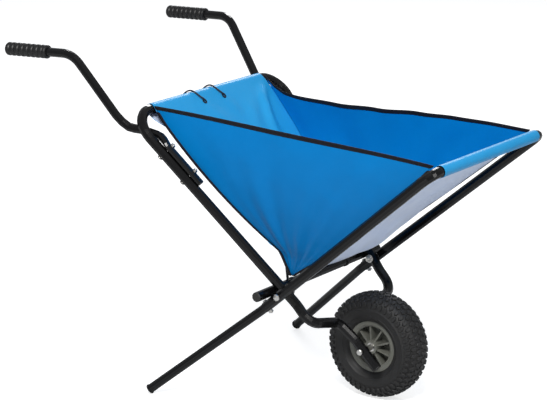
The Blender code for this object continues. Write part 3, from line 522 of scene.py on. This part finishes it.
# the cloth tub
tub = {
    "rearLength": 0.548, "frontLength": 0.562,
    "topRear": 0.224, "topFront": 0.215, "bottomHalf": 0.118, "waist": 0.070,
    "panelLift": 0.0139, "floorLift": 0.0200, "sleeveRadius": 0.0139, "sleeveDrop": 0.070,
    "cheekTop": 0.003, "cheekRise": 0.0046, "floorRun": 0.100, "frontSag": 0.020, "barRadius": 0.0120,
    "columns": 36, "panelSteps": 44, "cheekRows": 30, "cheekCols": 40,
    "hammock": 0.004,       # how far each panel sags between its edges
    "inward": 0.024,        # top edge pulled in halfway along
    "tapeWide": 0.0095, "tapeThick": 0.0009, "tapeSteps": 60, "tapeStart": 0.03,
    "tapeShift": 0.0022,    # the rear tape sits outside the cheek's edge
    "cheekFlat": (0.80, 0.44),
    "sleeveSteps": 12, "sleeveLap": 0.18,    # past the half turn round a bar, radians
    "sleeveInset": 0.004, "sleeveUnder": 0.0030, "sleeveBack": 1.02,
    "floorSteps": 16, "seamOver": 0.0006,    # the sling reaches this far into the cheeks
    "hem": 0.006,
}
# how far a top edge hangs below the straight line: share of its length, metres
farDroop = [(0.0, 0.0), (0.047, -0.0215), (0.082, -0.0310), (0.138, -0.0330), (0.303, -0.028),
            (0.464, -0.018), (0.62, -0.006), (0.752, 0.0), (0.87, 0.002), (1.0, 0.0)]
nearDroop = [(0.0, 0.0), (0.5, -0.005), (1.0, 0.0)]


def lerpTable(table, at):
    for (a, va), (b, vb) in zip(table, table[1:]):
        if at <= b:
            share = (at - a) / (b - a)
            return va + (vb - va) * share * share * (3 - 2 * share)
    return table[-1][1]


def tubRearHalf(along):
    share = min(max((along - tub["waist"]) / (tub["rearLength"] - tub["waist"]), 0.0), 1.0)
    return tub["bottomHalf"] + (tub["topRear"] - tub["bottomHalf"]) * (1 - (1 - share) ** 2.2)


def tubFrontHalf(along):
    share = min(max(along / tub["frontLength"], 0.0), 1.0)
    return tub["bottomHalf"] + (tub["topFront"] - tub["bottomHalf"]) * (1 - (1 - share) ** 1.7)


def frontLift(along):
    share = min(max(along / tub["frontLength"], 0.0), 1.0)
    return tub["floorLift"] + (tub["sleeveRadius"] - tub["floorLift"]) * share


def wave(point, scale, stretch=(1, 1, 1)):
    spot = Vector([place * factor for place, factor in zip(point, stretch)])
    return noise.noise(spot * scale)


def ridge(along, side, line, width):
    best = 0.0
    for i in range(len(line) - 1):
        a = Vector(line[i][:2])
        b = Vector(line[i + 1][:2])
        run = b - a
        share = min(max((Vector((along, side)) - a).dot(run) / run.length_squared, 0.0), 1.0)
        away = (Vector((along, side)) - (a + run * share)).length
        high = line[i][2] + (line[i + 1][2] - line[i][2]) * share
        best = max(best, high * math.exp(-(away / width) ** 2))
    return best


# soft folds in the rear panel: points along, aside and high, then the fold's width
rearFolds = [
    ([(0.515, 0.195, 0.006), (0.4927, 0.1721, 0.013), (0.4584, 0.1568, 0.015),
      (0.4184, 0.1402, 0.012), (0.3821, 0.1356, 0.008), (0.33, 0.128, 0.0)], 0.0085),
    ([(0.52, 0.16, 0.0), (0.47, 0.11, 0.004), (0.40, 0.07, 0.003), (0.32, 0.03, 0.0)], 0.020),
    ([(0.53, -0.06, 0.0), (0.48, -0.02, 0.0035), (0.42, 0.01, 0.003), (0.36, 0.03, 0.0)], 0.016),
    ([(0.53, 0.03, 0.0), (0.49, 0.05, 0.003), (0.44, 0.06, 0.0)], 0.012),
]


def gridMesh(name, rows, layout, looks, thick, reverse=0, flip=False):
    high = len(rows)
    wide = len(rows[0])
    verts = [p for row in rows for p in row]
    faces = []
    for r in range(high - 1):
        for c in range(wide - 1):
            a = r * wide + c
            face = (a, a + 1, a + wide + 1, a + wide)
            faces.append(tuple(reversed(face)) if flip else face)
    mesh = bpy.data.meshes.new(name)
    mesh.from_pydata(verts, [], faces)
    uv = mesh.uv_layers.new(name="clothLayout")
    flat = [q for row in layout for q in row]
    for loop in mesh.loops:
        uv.data[loop.index].uv = flat[loop.vertex_index]
    obj = bpy.data.objects.new(name, mesh)
    scene.collection.objects.link(obj)
    for look in looks:
        mesh.materials.append(look)
    makeActive(obj)
    wall = obj.modifiers.new("thickness", "SOLIDIFY")
    wall.thickness = thick
    wall.offset = 0.0
    wall.use_even_offset = False
    wall.material_offset = reverse
    wall.material_offset_rim = 0
    soft = obj.modifiers.new("softness", "SUBSURF")
    soft.levels = 1
    soft.render_levels = 1
    soft.uv_smooth = "NONE"
    for modifier in list(obj.modifiers):
        bpy.ops.object.modifier_apply(modifier=modifier.name)
    bpy.ops.object.shade_smooth()
    return obj


def lowestPoint():
    low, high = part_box("stop_bar")
    return Vector(((low.x + high.x) / 2 + 0.0020, 0,
                   (low.z + high.z) / 2 + tub["barRadius"] + 0.0034))


lowestAt = lowestPoint()
floorRear = onRear(tub["floorRun"], 0, tub["panelLift"])


# a cheek's front or rear edge: straight along the frame, then down to the stop bar
def sideLine(front, depth):
    if front:
        topAlong = tub["frontLength"] - tub["cheekTop"]
        corner = onFront(tub["floorRun"], 0, frontLift(tub["floorRun"]))
        end = lowestAt + Vector((0.007, 0, 0.0035))
    else:
        topAlong = tub["rearLength"] - tub["cheekTop"]
        corner = floorRear
        end = lowestAt + Vector((-0.004, 0, 0.0035))
    straight = topAlong - tub["floorRun"]
    bent = (corner - end).length
    run = depth * (straight + bent)
    if run < straight:
        along = topAlong - run
        rise = tub["cheekRise"] * max(0.0, 1 - depth * 12)
        if front:
            return onFront(along, 0, frontLift(along) - 0.0010 + rise), tubFrontHalf(along)
        return onRear(along, 0, tub["panelLift"] - 0.0010 + rise), tubRearHalf(along)
    share = (run - straight) / bent
    top = tubFrontHalf(tub["floorRun"]) if front else tubRearHalf(tub["floorRun"])
    return corner.lerp(end, share), top + (tub["bottomHalf"] - top) * share


def slingLine():
    radius = tub["sleeveRadius"]
    rows = []   # frame, along it, lift, half width, sag share, kind
    rearL, frontL = tub["rearLength"], tub["frontLength"]
    hem = tub["sleeveDrop"]
    inset, back = tub["sleeveInset"], tub["sleeveBack"]
    under = tub["panelLift"] - tub["sleeveUnder"]
    steps = tub["sleeveSteps"]
    lap = tub["sleeveLap"]
    over = tub["seamOver"]
    for k in range(4):       # back flap of the rear sleeve, from its hem up to the bar
        share = k / 4
        along = rearL - hem + (hem - inset) * share
        lift = under + (-radius * back - under) * math.sin(share * math.pi / 2) ** 1.4
        rows.append((onRear, along, lift, tubRearHalf(along) - inset, 0.0, "rearSleeve"))
    for k in range(steps + 1):
        turn = -math.pi / 2 - lap + (math.pi + lap) * k / steps
        rows.append((onRear, rearL + radius * math.cos(turn), radius * math.sin(turn),
                     tubRearHalf(rearL) - 0.003, 0.0, "rearSleeve"))
    count = tub["panelSteps"]
    foot = tub["floorRun"] + 0.010
    for k in range(1, count):
        along = rearL - (rearL - foot) * k / count
        share = k / count
        rows.append((onRear, along, tub["panelLift"], tubRearHalf(along) + over,
                     math.sin(min(share * 1.15, 1.0) * math.pi) ** 0.7, "rearPanel"))
    rearFoot = onRear(foot, 0, tub["panelLift"])
    frontFoot = onFront(foot, 0, frontLift(foot))
    halfRear, halfFront = tubRearHalf(foot), tubFrontHalf(foot)
    for k in range(tub["floorSteps"] + 1):       # over the stop bar at the bottom
        t = k / tub["floorSteps"]
        if t < 0.5:
            share = 1 - t * 2
            point = lowestAt.lerp(rearFoot, share)
            half = tub["bottomHalf"] + (halfRear - tub["bottomHalf"]) * share
        else:
            share = t * 2 - 1
            point = lowestAt.lerp(frontFoot, share)
            half = tub["bottomHalf"] + (halfFront - tub["bottomHalf"]) * share
        point = point + Vector((0, 0, 0.004)) * math.exp(-(share / 0.22) ** 2)
        sag = tub["frontSag"] * math.sin(share * math.pi / 2) if t > 0.5 else 0.0
        rows.append((None, point, 0.0, half + over, sag, "floor"))
    for k in range(1, count):
        along = foot + (frontL - foot) * k / count
        share = k / count
        sag = math.sin(share * math.pi) ** 0.7
        low = tub["frontSag"] / tub["hammock"] * math.exp(-((along - foot) / 0.10) ** 2)
        rows.append((onFront, along, frontLift(along), tubFrontHalf(along) + over,
                     max(sag, low), "frontPanel"))
    for k in range(steps + 1):
        turn = math.pi / 2 - (math.pi + lap) * k / steps
        rows.append((onFront, frontL + radius * math.cos(turn), radius * math.sin(turn),
                     tubFrontHalf(frontL) - 0.003, 0.0, "frontSleeve"))
    for k in range(1, 5):    # back flap of the front sleeve, from the bar down to its hem
        share = k / 4
        along = frontL - inset - (hem - inset) * share
        level = frontLift(along) - tub["sleeveUnder"]
        lift = -radius * back + (level + radius * back) * math.sin(share * math.pi / 2) ** 1.4
        rows.append((onFront, along, lift, tubFrontHalf(along) - inset, 0.0, "frontSleeve"))
    return rows


def buildSling():
    line = slingLine()
    columns = tub["columns"]
    rows = []
    layout = []
    run = 0.0
    previous = None
    area = 0.0
    longest = 0.0
    lastHalf = None
    for place, along, lift, half, sag, kind in line:
        row = []
        for c in range(columns + 1):
            share = c / columns * 2 - 1
            side = half * share
            if place is None:
                point = along + across * side
                point.z -= sag * (1 - share * share)
            else:
                extra = -tub["hammock"] * sag * (1 - share * share)
                if kind == "rearPanel":
                    for fold, width in rearFolds:
                        extra += ridge(along, side, fold, width)
                    flare = 0.012 * math.exp(-((along - 0.105) / 0.030) ** 2)
                    side += math.copysign(flare * abs(share) ** 6, side)
                if kind in ("rearPanel", "frontPanel"):
                    spot = Vector((along, side, 0.0))
                    extra += sag * 0.0022 * wave(spot, 9.0) + sag * 0.0012 * wave(spot, 24.0)
                point = place(along, side, lift + extra)
            row.append(point)
        centre = row[columns // 2]
        if previous is not None:
            step = (centre - previous).length
            run += step
            area += step * (half + lastHalf)
        previous = centre
        lastHalf = half
        longest = max(longest, half)
        rows.append(row)
        layout.append([(half * (c / columns * 2 - 1), run) for c in range(columns + 1)])
    seams = seamLines(line, layout)
    # the sling's upper face takes the lighter, lit copy of the blue: painted light
    looks = [clothLook("tubBlue", tubCloth["paintedLitBlue"], tubCloth["paintedLitDeepBlue"], 0.36, seams, 0.20),
             clothLook("tubReverse", tubCloth["reverse"], tubCloth["deepReverse"], 0.45, seams, 0.1)]
    sling = gridMesh("tubSling", rows, layout, looks, tubCloth["thick"], reverse=1, flip=True)
    return sling, run, longest * 2, area


def seamLines(line, layout):
    frontSeam = tub["frontLength"] - tub["sleeveDrop"]
    found = [tub["hem"], layout[-1][0][1] - tub["hem"]]   # the two ends, then the front sleeve
    for entry, row in zip(line, layout):
        if entry[5] == "frontPanel" and entry[1] >= frontSeam and len(found) == 2:
            found.append(row[0][1])
    return found


# a point's angle about the pivot, from 0 at the rear panel to 1 at the front panel
def fanShare(point):
    offset = point - pivot
    away = math.hypot(offset.x, offset.z)
    angle = math.atan2(offset.dot(rearFace), offset.dot(rearUp))
    total = math.atan2(frontUp.dot(rearFace), frontUp.dot(rearUp))
    if away < 1e-6:
        return 0.5
    nearRear = math.asin(min((tub["panelLift"] + 0.006) / away, 0.42))
    nearFront = total - math.asin(min((tub["floorLift"] + 0.006) / away, 0.60))
    share = min(max((angle - nearRear) / max(nearFront - nearRear, 1e-3), 0.0), 1.0)
    if angle < -1.6:
        share = 1.0 if offset.x > 0 else 0.0
    return share


def bendWithFold(obj):
    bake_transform(obj, "main_frame", "front_frame", start=tuple(onRear(0.1, 0, 0)),
             end=tuple(onFront(0.1, 0, 0)))
    shares = obj.data.attributes["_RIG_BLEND"]
    for i, vert in enumerate(obj.data.vertices):
        shares.data[i].value = fanShare(vert.co)


sling, slingLong, slingWide, slingArea = buildSling()
print("stage: sling cloth, %.3f x %.3f m" % (slingWide, slingLong))


def cheekPoint(sign, depth, share, wrinkle=True):
    back, backHalf = sideLine(False, depth)
    fore, foreHalf = sideLine(True, depth)
    back = back + across * (sign * (backHalf + 0.0004))
    fore = fore + across * (sign * (foreHalf + 0.0004))
    point = back.lerp(fore, share)
    fade = (1 - depth) ** 1.5
    droop = lerpTable(farDroop if sign > 0 else nearDroop, share)
    point.z += droop * (1 - depth) ** 2.2
    point.y -= sign * tub["inward"] * 4 * share * (1 - share) * fade
    if wrinkle:
        hold = min(1.0, 6 * share, 6 * (1 - share)) * min(1.0, depth * 8)
        spokes = math.sin(share * 23.0 + 1.3) * 0.5 + math.sin(share * 41.0 + depth * 3.0) * 0.4
        soft = 0.0052 * min(1.0, max(0.0, (1.0 - depth) * 3.0))
        point.y += sign * hold * soft * spokes * (0.25 + depth)
        broad, fine = wave(point, 7.0, (1.0, 0.3, 0.7)), wave(point, 21.0)
        point.y += hold * 0.0030 * broad + hold * 0.0012 * fine
    return point


def buildCheek(side, sign):
    rows = []
    layout = []
    for r in range(tub["cheekRows"] + 1):
        depth = r / tub["cheekRows"]
        row = []
        places = []
        for c in range(tub["cheekCols"] + 1):
            share = c / tub["cheekCols"]
            point = cheekPoint(sign, depth, share)
            row.append(point)
            places.append((point.x, -point.z))
        if sign < 0:
            row.reverse()
            places.reverse()
        rows.append(row)
        layout.append(places)
    look = finishes.get("cheekBlue")
    if look is None:
        look = clothLook("cheekBlue", tubCloth["blue"], tubCloth["deepBlue"], 0.42, [], 0.04)
        finishes["cheekBlue"] = look
    cheek = gridMesh("tubCheek_" + side, rows, layout, [look], tubCloth["thick"])
    area = 0.0
    for r in range(tub["cheekRows"]):
        for c in range(tub["cheekCols"]):
            a, b = rows[r][c], rows[r][c + 1]
            d, e = rows[r + 1][c], rows[r + 1][c + 1]
            area += ((b - a).cross(d - a)).length / 2 + ((b - e).cross(d - e)).length / 2
    return cheek, area


def buildTape(name, edge, inwardDirs, outward, wide):
    rows = []
    layout = []
    half = tubCloth["thick"] / 2 + tub["tapeThick"] / 2 + 0.0002
    run = 0.0
    for i, (point, inner) in enumerate(zip(edge, inwardDirs)):
        if i:
            run += (point - edge[i - 1]).length
        face = outward * half
        section = [point + inner * wide + face, point + inner * wide * 0.5 + face,
                   point + face - inner * 0.0004, point - inner * 0.0016,
                   point - face - inner * 0.0004, point + inner * wide * 0.5 - face,
                   point + inner * wide - face]
        rows.append(section)
        layout.append([(run, v * wide) for v in (1.0, 0.5, 0.05, 0.0, 0.05, 0.5, 1.0)])
    return gridMesh(name, rows, layout, [finishes["wovenTape"]], tub["tapeThick"])


def edgeTape(name, sign, edgeSpots, innerSpots, shift, wide):
    aside = across * (sign * shift)
    edge = [cheekPoint(sign, depth, share, False) + aside for depth, share in edgeSpots]
    inner = [(cheekPoint(sign, depth, share, False) + aside - point).normalized()
             for (depth, share), point in zip(innerSpots, edge)]
    return buildTape(name, edge, inner, across * sign, wide)


def buildSide(side, sign):
    cheek, area = buildCheek(side, sign)
    count = tub["tapeSteps"]
    start = tub["tapeStart"]
    wide = tub["tapeWide"]
    shares = [i / count for i in range(count + 1)]
    depths = [start + (1 - start) * i / count for i in range(count + 1)]
    topTape = edgeTape("topBinding_" + side, sign, [(0.0, s) for s in shares],
                       [(0.02, s) for s in shares], 0.0, wide)
    rearTape = edgeTape("rearBinding_" + side, sign, [(d, 0.0) for d in depths],
                        [(d, 0.03) for d in depths], tub["tapeShift"], wide * 0.8)
    frontTape = edgeTape("frontBinding_" + side, sign, [(d, 1.0) for d in depths],
                         [(d, 0.97) for d in depths], 0.0, wide * 0.6)
    tapes = [topTape, rearTape, frontTape]
    for piece in (cheek, *tapes):
        bendWithFold(piece)
    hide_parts("tub_side_" + side)
    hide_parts("top_binding_" + side)
    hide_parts("rear_binding_" + side)
    print("stage: %s cheek, %.4f square metres" % (side, area))


buildSide("right", -1)
buildSide("left", 1)

bendWithFold(sling)
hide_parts("tub_rear_panel", "tub_front_panel", "tub_floor")

# ribbed grips
grip = {
    "end": (-0.731, 0.3155, 0.8005), "elbow": (-0.536, 0.3105, 0.8085),
    "radius": 0.0165, "valley": 0.0135, "length": 0.121, "ribs": 7, "facets": 40,
}


def turnedPiece(name, stations, count, seat, direction, look):
    makeActive(None)
    bpy.ops.mesh.primitive_circle_add(vertices=count, radius=stations[0][0], fill_type="NGON",
                                      location=(0, 0, stations[0][1]))
    obj = bpy.context.active_object
    obj.name = name
    bpy.ops.object.transform_apply(location=True, rotation=True, scale=True)
    bpy.ops.object.mode_set(mode="EDIT")
    bpy.ops.mesh.select_mode(type="FACE")
    bpy.ops.mesh.select_all(action="SELECT")
    for (r0, h0), (r1, h1) in zip(stations, stations[1:]):
        bpy.ops.mesh.extrude_region_move(TRANSFORM_OT_translate={"value": (0, 0, h1 - h0)})
        bpy.ops.transform.resize(value=(r1 / r0, r1 / r0, 1), center_override=(0, 0, h1))
    bpy.ops.mesh.select_all(action="SELECT")
    bpy.ops.mesh.normals_make_consistent(inside=False)
    bpy.ops.object.mode_set(mode="OBJECT")
    obj.matrix_world = (Matrix.Translation(seat)
                        @ Vector(direction).to_track_quat("Z", "Y").to_matrix().to_4x4())
    bpy.ops.object.transform_apply(location=True, rotation=True, scale=True)
    obj.data.materials.append(look)
    bpy.ops.object.shade_smooth_by_angle(angle=math.radians(50))
    return obj


def buildGrips():
    for side, sign in (("right", -1), ("left", 1)):
        end = pivot + Vector((grip["end"][0], sign * grip["end"][1], 0))
        end.z = grip["end"][2]
        elbow = pivot + Vector((grip["elbow"][0], sign * grip["elbow"][1], 0))
        elbow.z = grip["elbow"][2]
        heading = (elbow - end).normalized()
        big, small = grip["radius"], grip["valley"]
        stations = [(0.006, -0.0060), (0.0115, -0.0054), (0.0148, -0.0038), (0.0163, -0.0012),
                    (big, 0.0015), (0.0163, 0.0040), (0.0150, 0.0058)]
        pitch = (grip["length"] - 0.016) / grip["ribs"]
        for k in range(grip["ribs"]):
            start = 0.0075 + k * pitch
            for at, radius in ((0.0, small), (0.10, small), (0.20, 0.0156), (0.34, 0.0164),
                               (0.50, big), (0.66, 0.0164), (0.80, 0.0156), (0.90, small)):
                stations.append((radius, start + pitch * at))
        tail = grip["length"] - 0.0085
        stations += [(small, tail), (0.0160, tail + 0.0012), (big, tail + 0.0028),
                     (big, tail + 0.0052), (0.0158, tail + 0.0066), (0.0125, tail + 0.0075)]
        piece = turnedPiece("handGrip_" + side, stations, grip["facets"], end, heading,
                            finishes["gripRubber"])
        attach(piece, "main_frame")
        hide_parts("grip_" + side)


buildGrips()
print("stage: grips")

# tyre with block tread
tyre = {
    "radius": 0.130,
    "tread": 0.0034,        # height of the blocks
    "sunk": 0.0016,         # how deep a block's foot lies in the tyre
    "curlWide": 0.075, "curlLong": 0.26,    # a block's bend to the crown
    "blocks": 46, "rowsSide": 3, "rowStep": 0.0152,
    "blockLong": 0.0072, "blockWide": 0.0088, "steps": 92,
}
treadBase = tyre["radius"] - tyre["tread"]
# half of the tyre's outline, from the middle of the crown to the bead
outline = [(treadBase, 0.0), (treadBase - 0.0002, 0.006), (treadBase - 0.0010, 0.012),
           (treadBase - 0.0024, 0.018), (treadBase - 0.0048, 0.0240), (treadBase - 0.0084, 0.0295),
           (treadBase - 0.0132, 0.0342), (treadBase - 0.0190, 0.0376), (treadBase - 0.0250, 0.0398),
           (treadBase - 0.0310, 0.0410), (treadBase - 0.0318, 0.0418), (treadBase - 0.0336, 0.0419),
           (treadBase - 0.0346, 0.0412), (treadBase - 0.0420, 0.0408), (treadBase - 0.0480, 0.0396),
           (treadBase - 0.0486, 0.0402), (treadBase - 0.0500, 0.0401), (treadBase - 0.0508, 0.0390),
           (treadBase - 0.0560, 0.0368), (treadBase - 0.0600, 0.0338), (treadBase - 0.0625, 0.0305),
           (treadBase - 0.0635, 0.0282), (0.0592, 0.0262)]


def buildTyreBody():
    profile = [(r, -w) for r, w in reversed(outline)] + outline[1:]
    inner = [(0.0592, 0.0180), (0.0760, 0.0300), (0.1000, 0.0330), (0.1130, 0.0200), (0.1140, 0.0),
             (0.1130, -0.0200), (0.1000, -0.0330), (0.0760, -0.0300), (0.0592, -0.0180)]
    ring = profile + inner
    makeActive(None)
    bpy.ops.mesh.primitive_circle_add(vertices=len(ring), radius=0.04, fill_type="NOTHING")
    obj = bpy.context.active_object
    obj.name = "tyreBody"
    for vert, (radius, wide) in zip(obj.data.vertices, ring):
        vert.co = axle + Vector((0, wide, radius))
    obj.location = (0, 0, 0)
    bpy.ops.object.mode_set(mode="EDIT")
    bpy.ops.mesh.select_all(action="SELECT")
    bpy.ops.mesh.spin(steps=tyre["steps"], angle=2 * math.pi, center=tuple(axle), axis=(0, 1, 0))
    bpy.ops.mesh.select_all(action="SELECT")
    bpy.ops.mesh.remove_doubles(threshold=0.00002)
    bpy.ops.mesh.normals_make_consistent(inside=False)
    bpy.ops.object.mode_set(mode="OBJECT")
    obj.data.materials.append(finishes["tyreBlack"])
    bpy.ops.object.shade_smooth_by_angle(angle=math.radians(45))
    return obj


def crownAt(arc):
    run = 0.0
    for (r0, w0), (r1, w1) in zip(outline, outline[1:]):
        step = math.hypot(r1 - r0, w1 - w0)
        if run + step >= arc:
            share = (arc - run) / step
            normal = Vector((w1 - w0, -(r1 - r0))).normalized()
            return r0 + (r1 - r0) * share, w0 + (w1 - w0) * share, normal
        run += step
    return outline[-1][0], outline[-1][1], normal


def buildBlock():
    makeActive(None)
    bpy.ops.mesh.primitive_cylinder_add(vertices=6, radius=1.0, depth=1.0, location=(0, 0, 0))
    block = bpy.context.active_object
    block.name = "treadBlock"
    block.scale = (tyre["blockLong"], tyre["blockWide"], tyre["tread"] + tyre["sunk"])
    bpy.ops.object.transform_apply(location=False, rotation=True, scale=True)
    bpy.ops.object.mode_set(mode="EDIT")
    bpy.ops.mesh.select_mode(type="FACE")
    bpy.ops.mesh.select_all(action="DESELECT")
    bm = bmesh.from_edit_mesh(block.data)
    for face in bm.faces:
        face.select = face.normal.z > 0.9
    bmesh.update_edit_mesh(block.data)
    bpy.ops.transform.resize(value=(0.86, 0.88, 1), center_override=(0, 0, 0))
    bpy.ops.mesh.bevel(offset=0.0008, offset_type="OFFSET", segments=1, affect="EDGES")
    bpy.ops.mesh.select_all(action="DESELECT")
    bm = bmesh.from_edit_mesh(block.data)
    low = [face for face in bm.faces if face.normal.z < -0.9]
    bmesh.ops.delete(bm, geom=low, context="FACES_ONLY")
    bmesh.update_edit_mesh(block.data)
    bpy.ops.object.mode_set(mode="OBJECT")
    return block


def buildTread():
    block = buildBlock()
    shape = [v.co.copy() for v in block.data.vertices]
    shapeFaces = [tuple(p.vertices) for p in block.data.polygons]
    verts = []
    faces = []
    count = tyre["blocks"]
    for rank in range(-tyre["rowsSide"], tyre["rowsSide"] + 1):
        radius, wide, normal = crownAt(abs(rank) * tyre["rowStep"])
        sign = 1 if rank >= 0 else -1
        for k in range(count):
            turn = 2 * math.pi * (k + (0.5 if rank % 2 else 0.0)) / count
            spoke = Vector((math.cos(turn), 0, math.sin(turn)))
            ahead = Vector((-math.sin(turn), 0, math.cos(turn)))
            out = spoke * normal.x + across * (sign * normal.y)
            beside = out.cross(ahead)
            seat = axle + spoke * radius + across * (sign * wide)
            skew = 0.25 * sign * (1 if rank else 0)
            base = len(verts)
            shrink = 1.0 - 0.10 * abs(rank)
            for co in shape:
                x = co.x * shrink + skew * co.y * 0.5
                lift = (co.z + (tyre["tread"] + tyre["sunk"]) / 2 - tyre["sunk"]
                        - co.y ** 2 / tyre["curlWide"] - co.x ** 2 / tyre["curlLong"])
                verts.append(seat + ahead * x + beside * co.y + out * lift)
            faces += [tuple(base + i for i in face) for face in shapeFaces]
    mesh = block.data
    mesh.clear_geometry()
    mesh.from_pydata(verts, [], faces)
    block.name = "tyreTread"
    mesh.materials.clear()
    mesh.materials.append(finishes["tyreBlack"])
    makeActive(block)
    bpy.ops.object.mode_set(mode="EDIT")
    bpy.ops.mesh.select_all(action="SELECT")
    bpy.ops.mesh.normals_make_consistent(inside=False)
    bpy.ops.object.mode_set(mode="OBJECT")
    bpy.ops.object.shade_flat()
    return block


tyreBody = buildTyreBody()
tread = buildTread()
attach(tyreBody, "wheel")
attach(tread, "wheel")
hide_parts("tyre")
print("stage: tyre and tread")

print("stage: done")
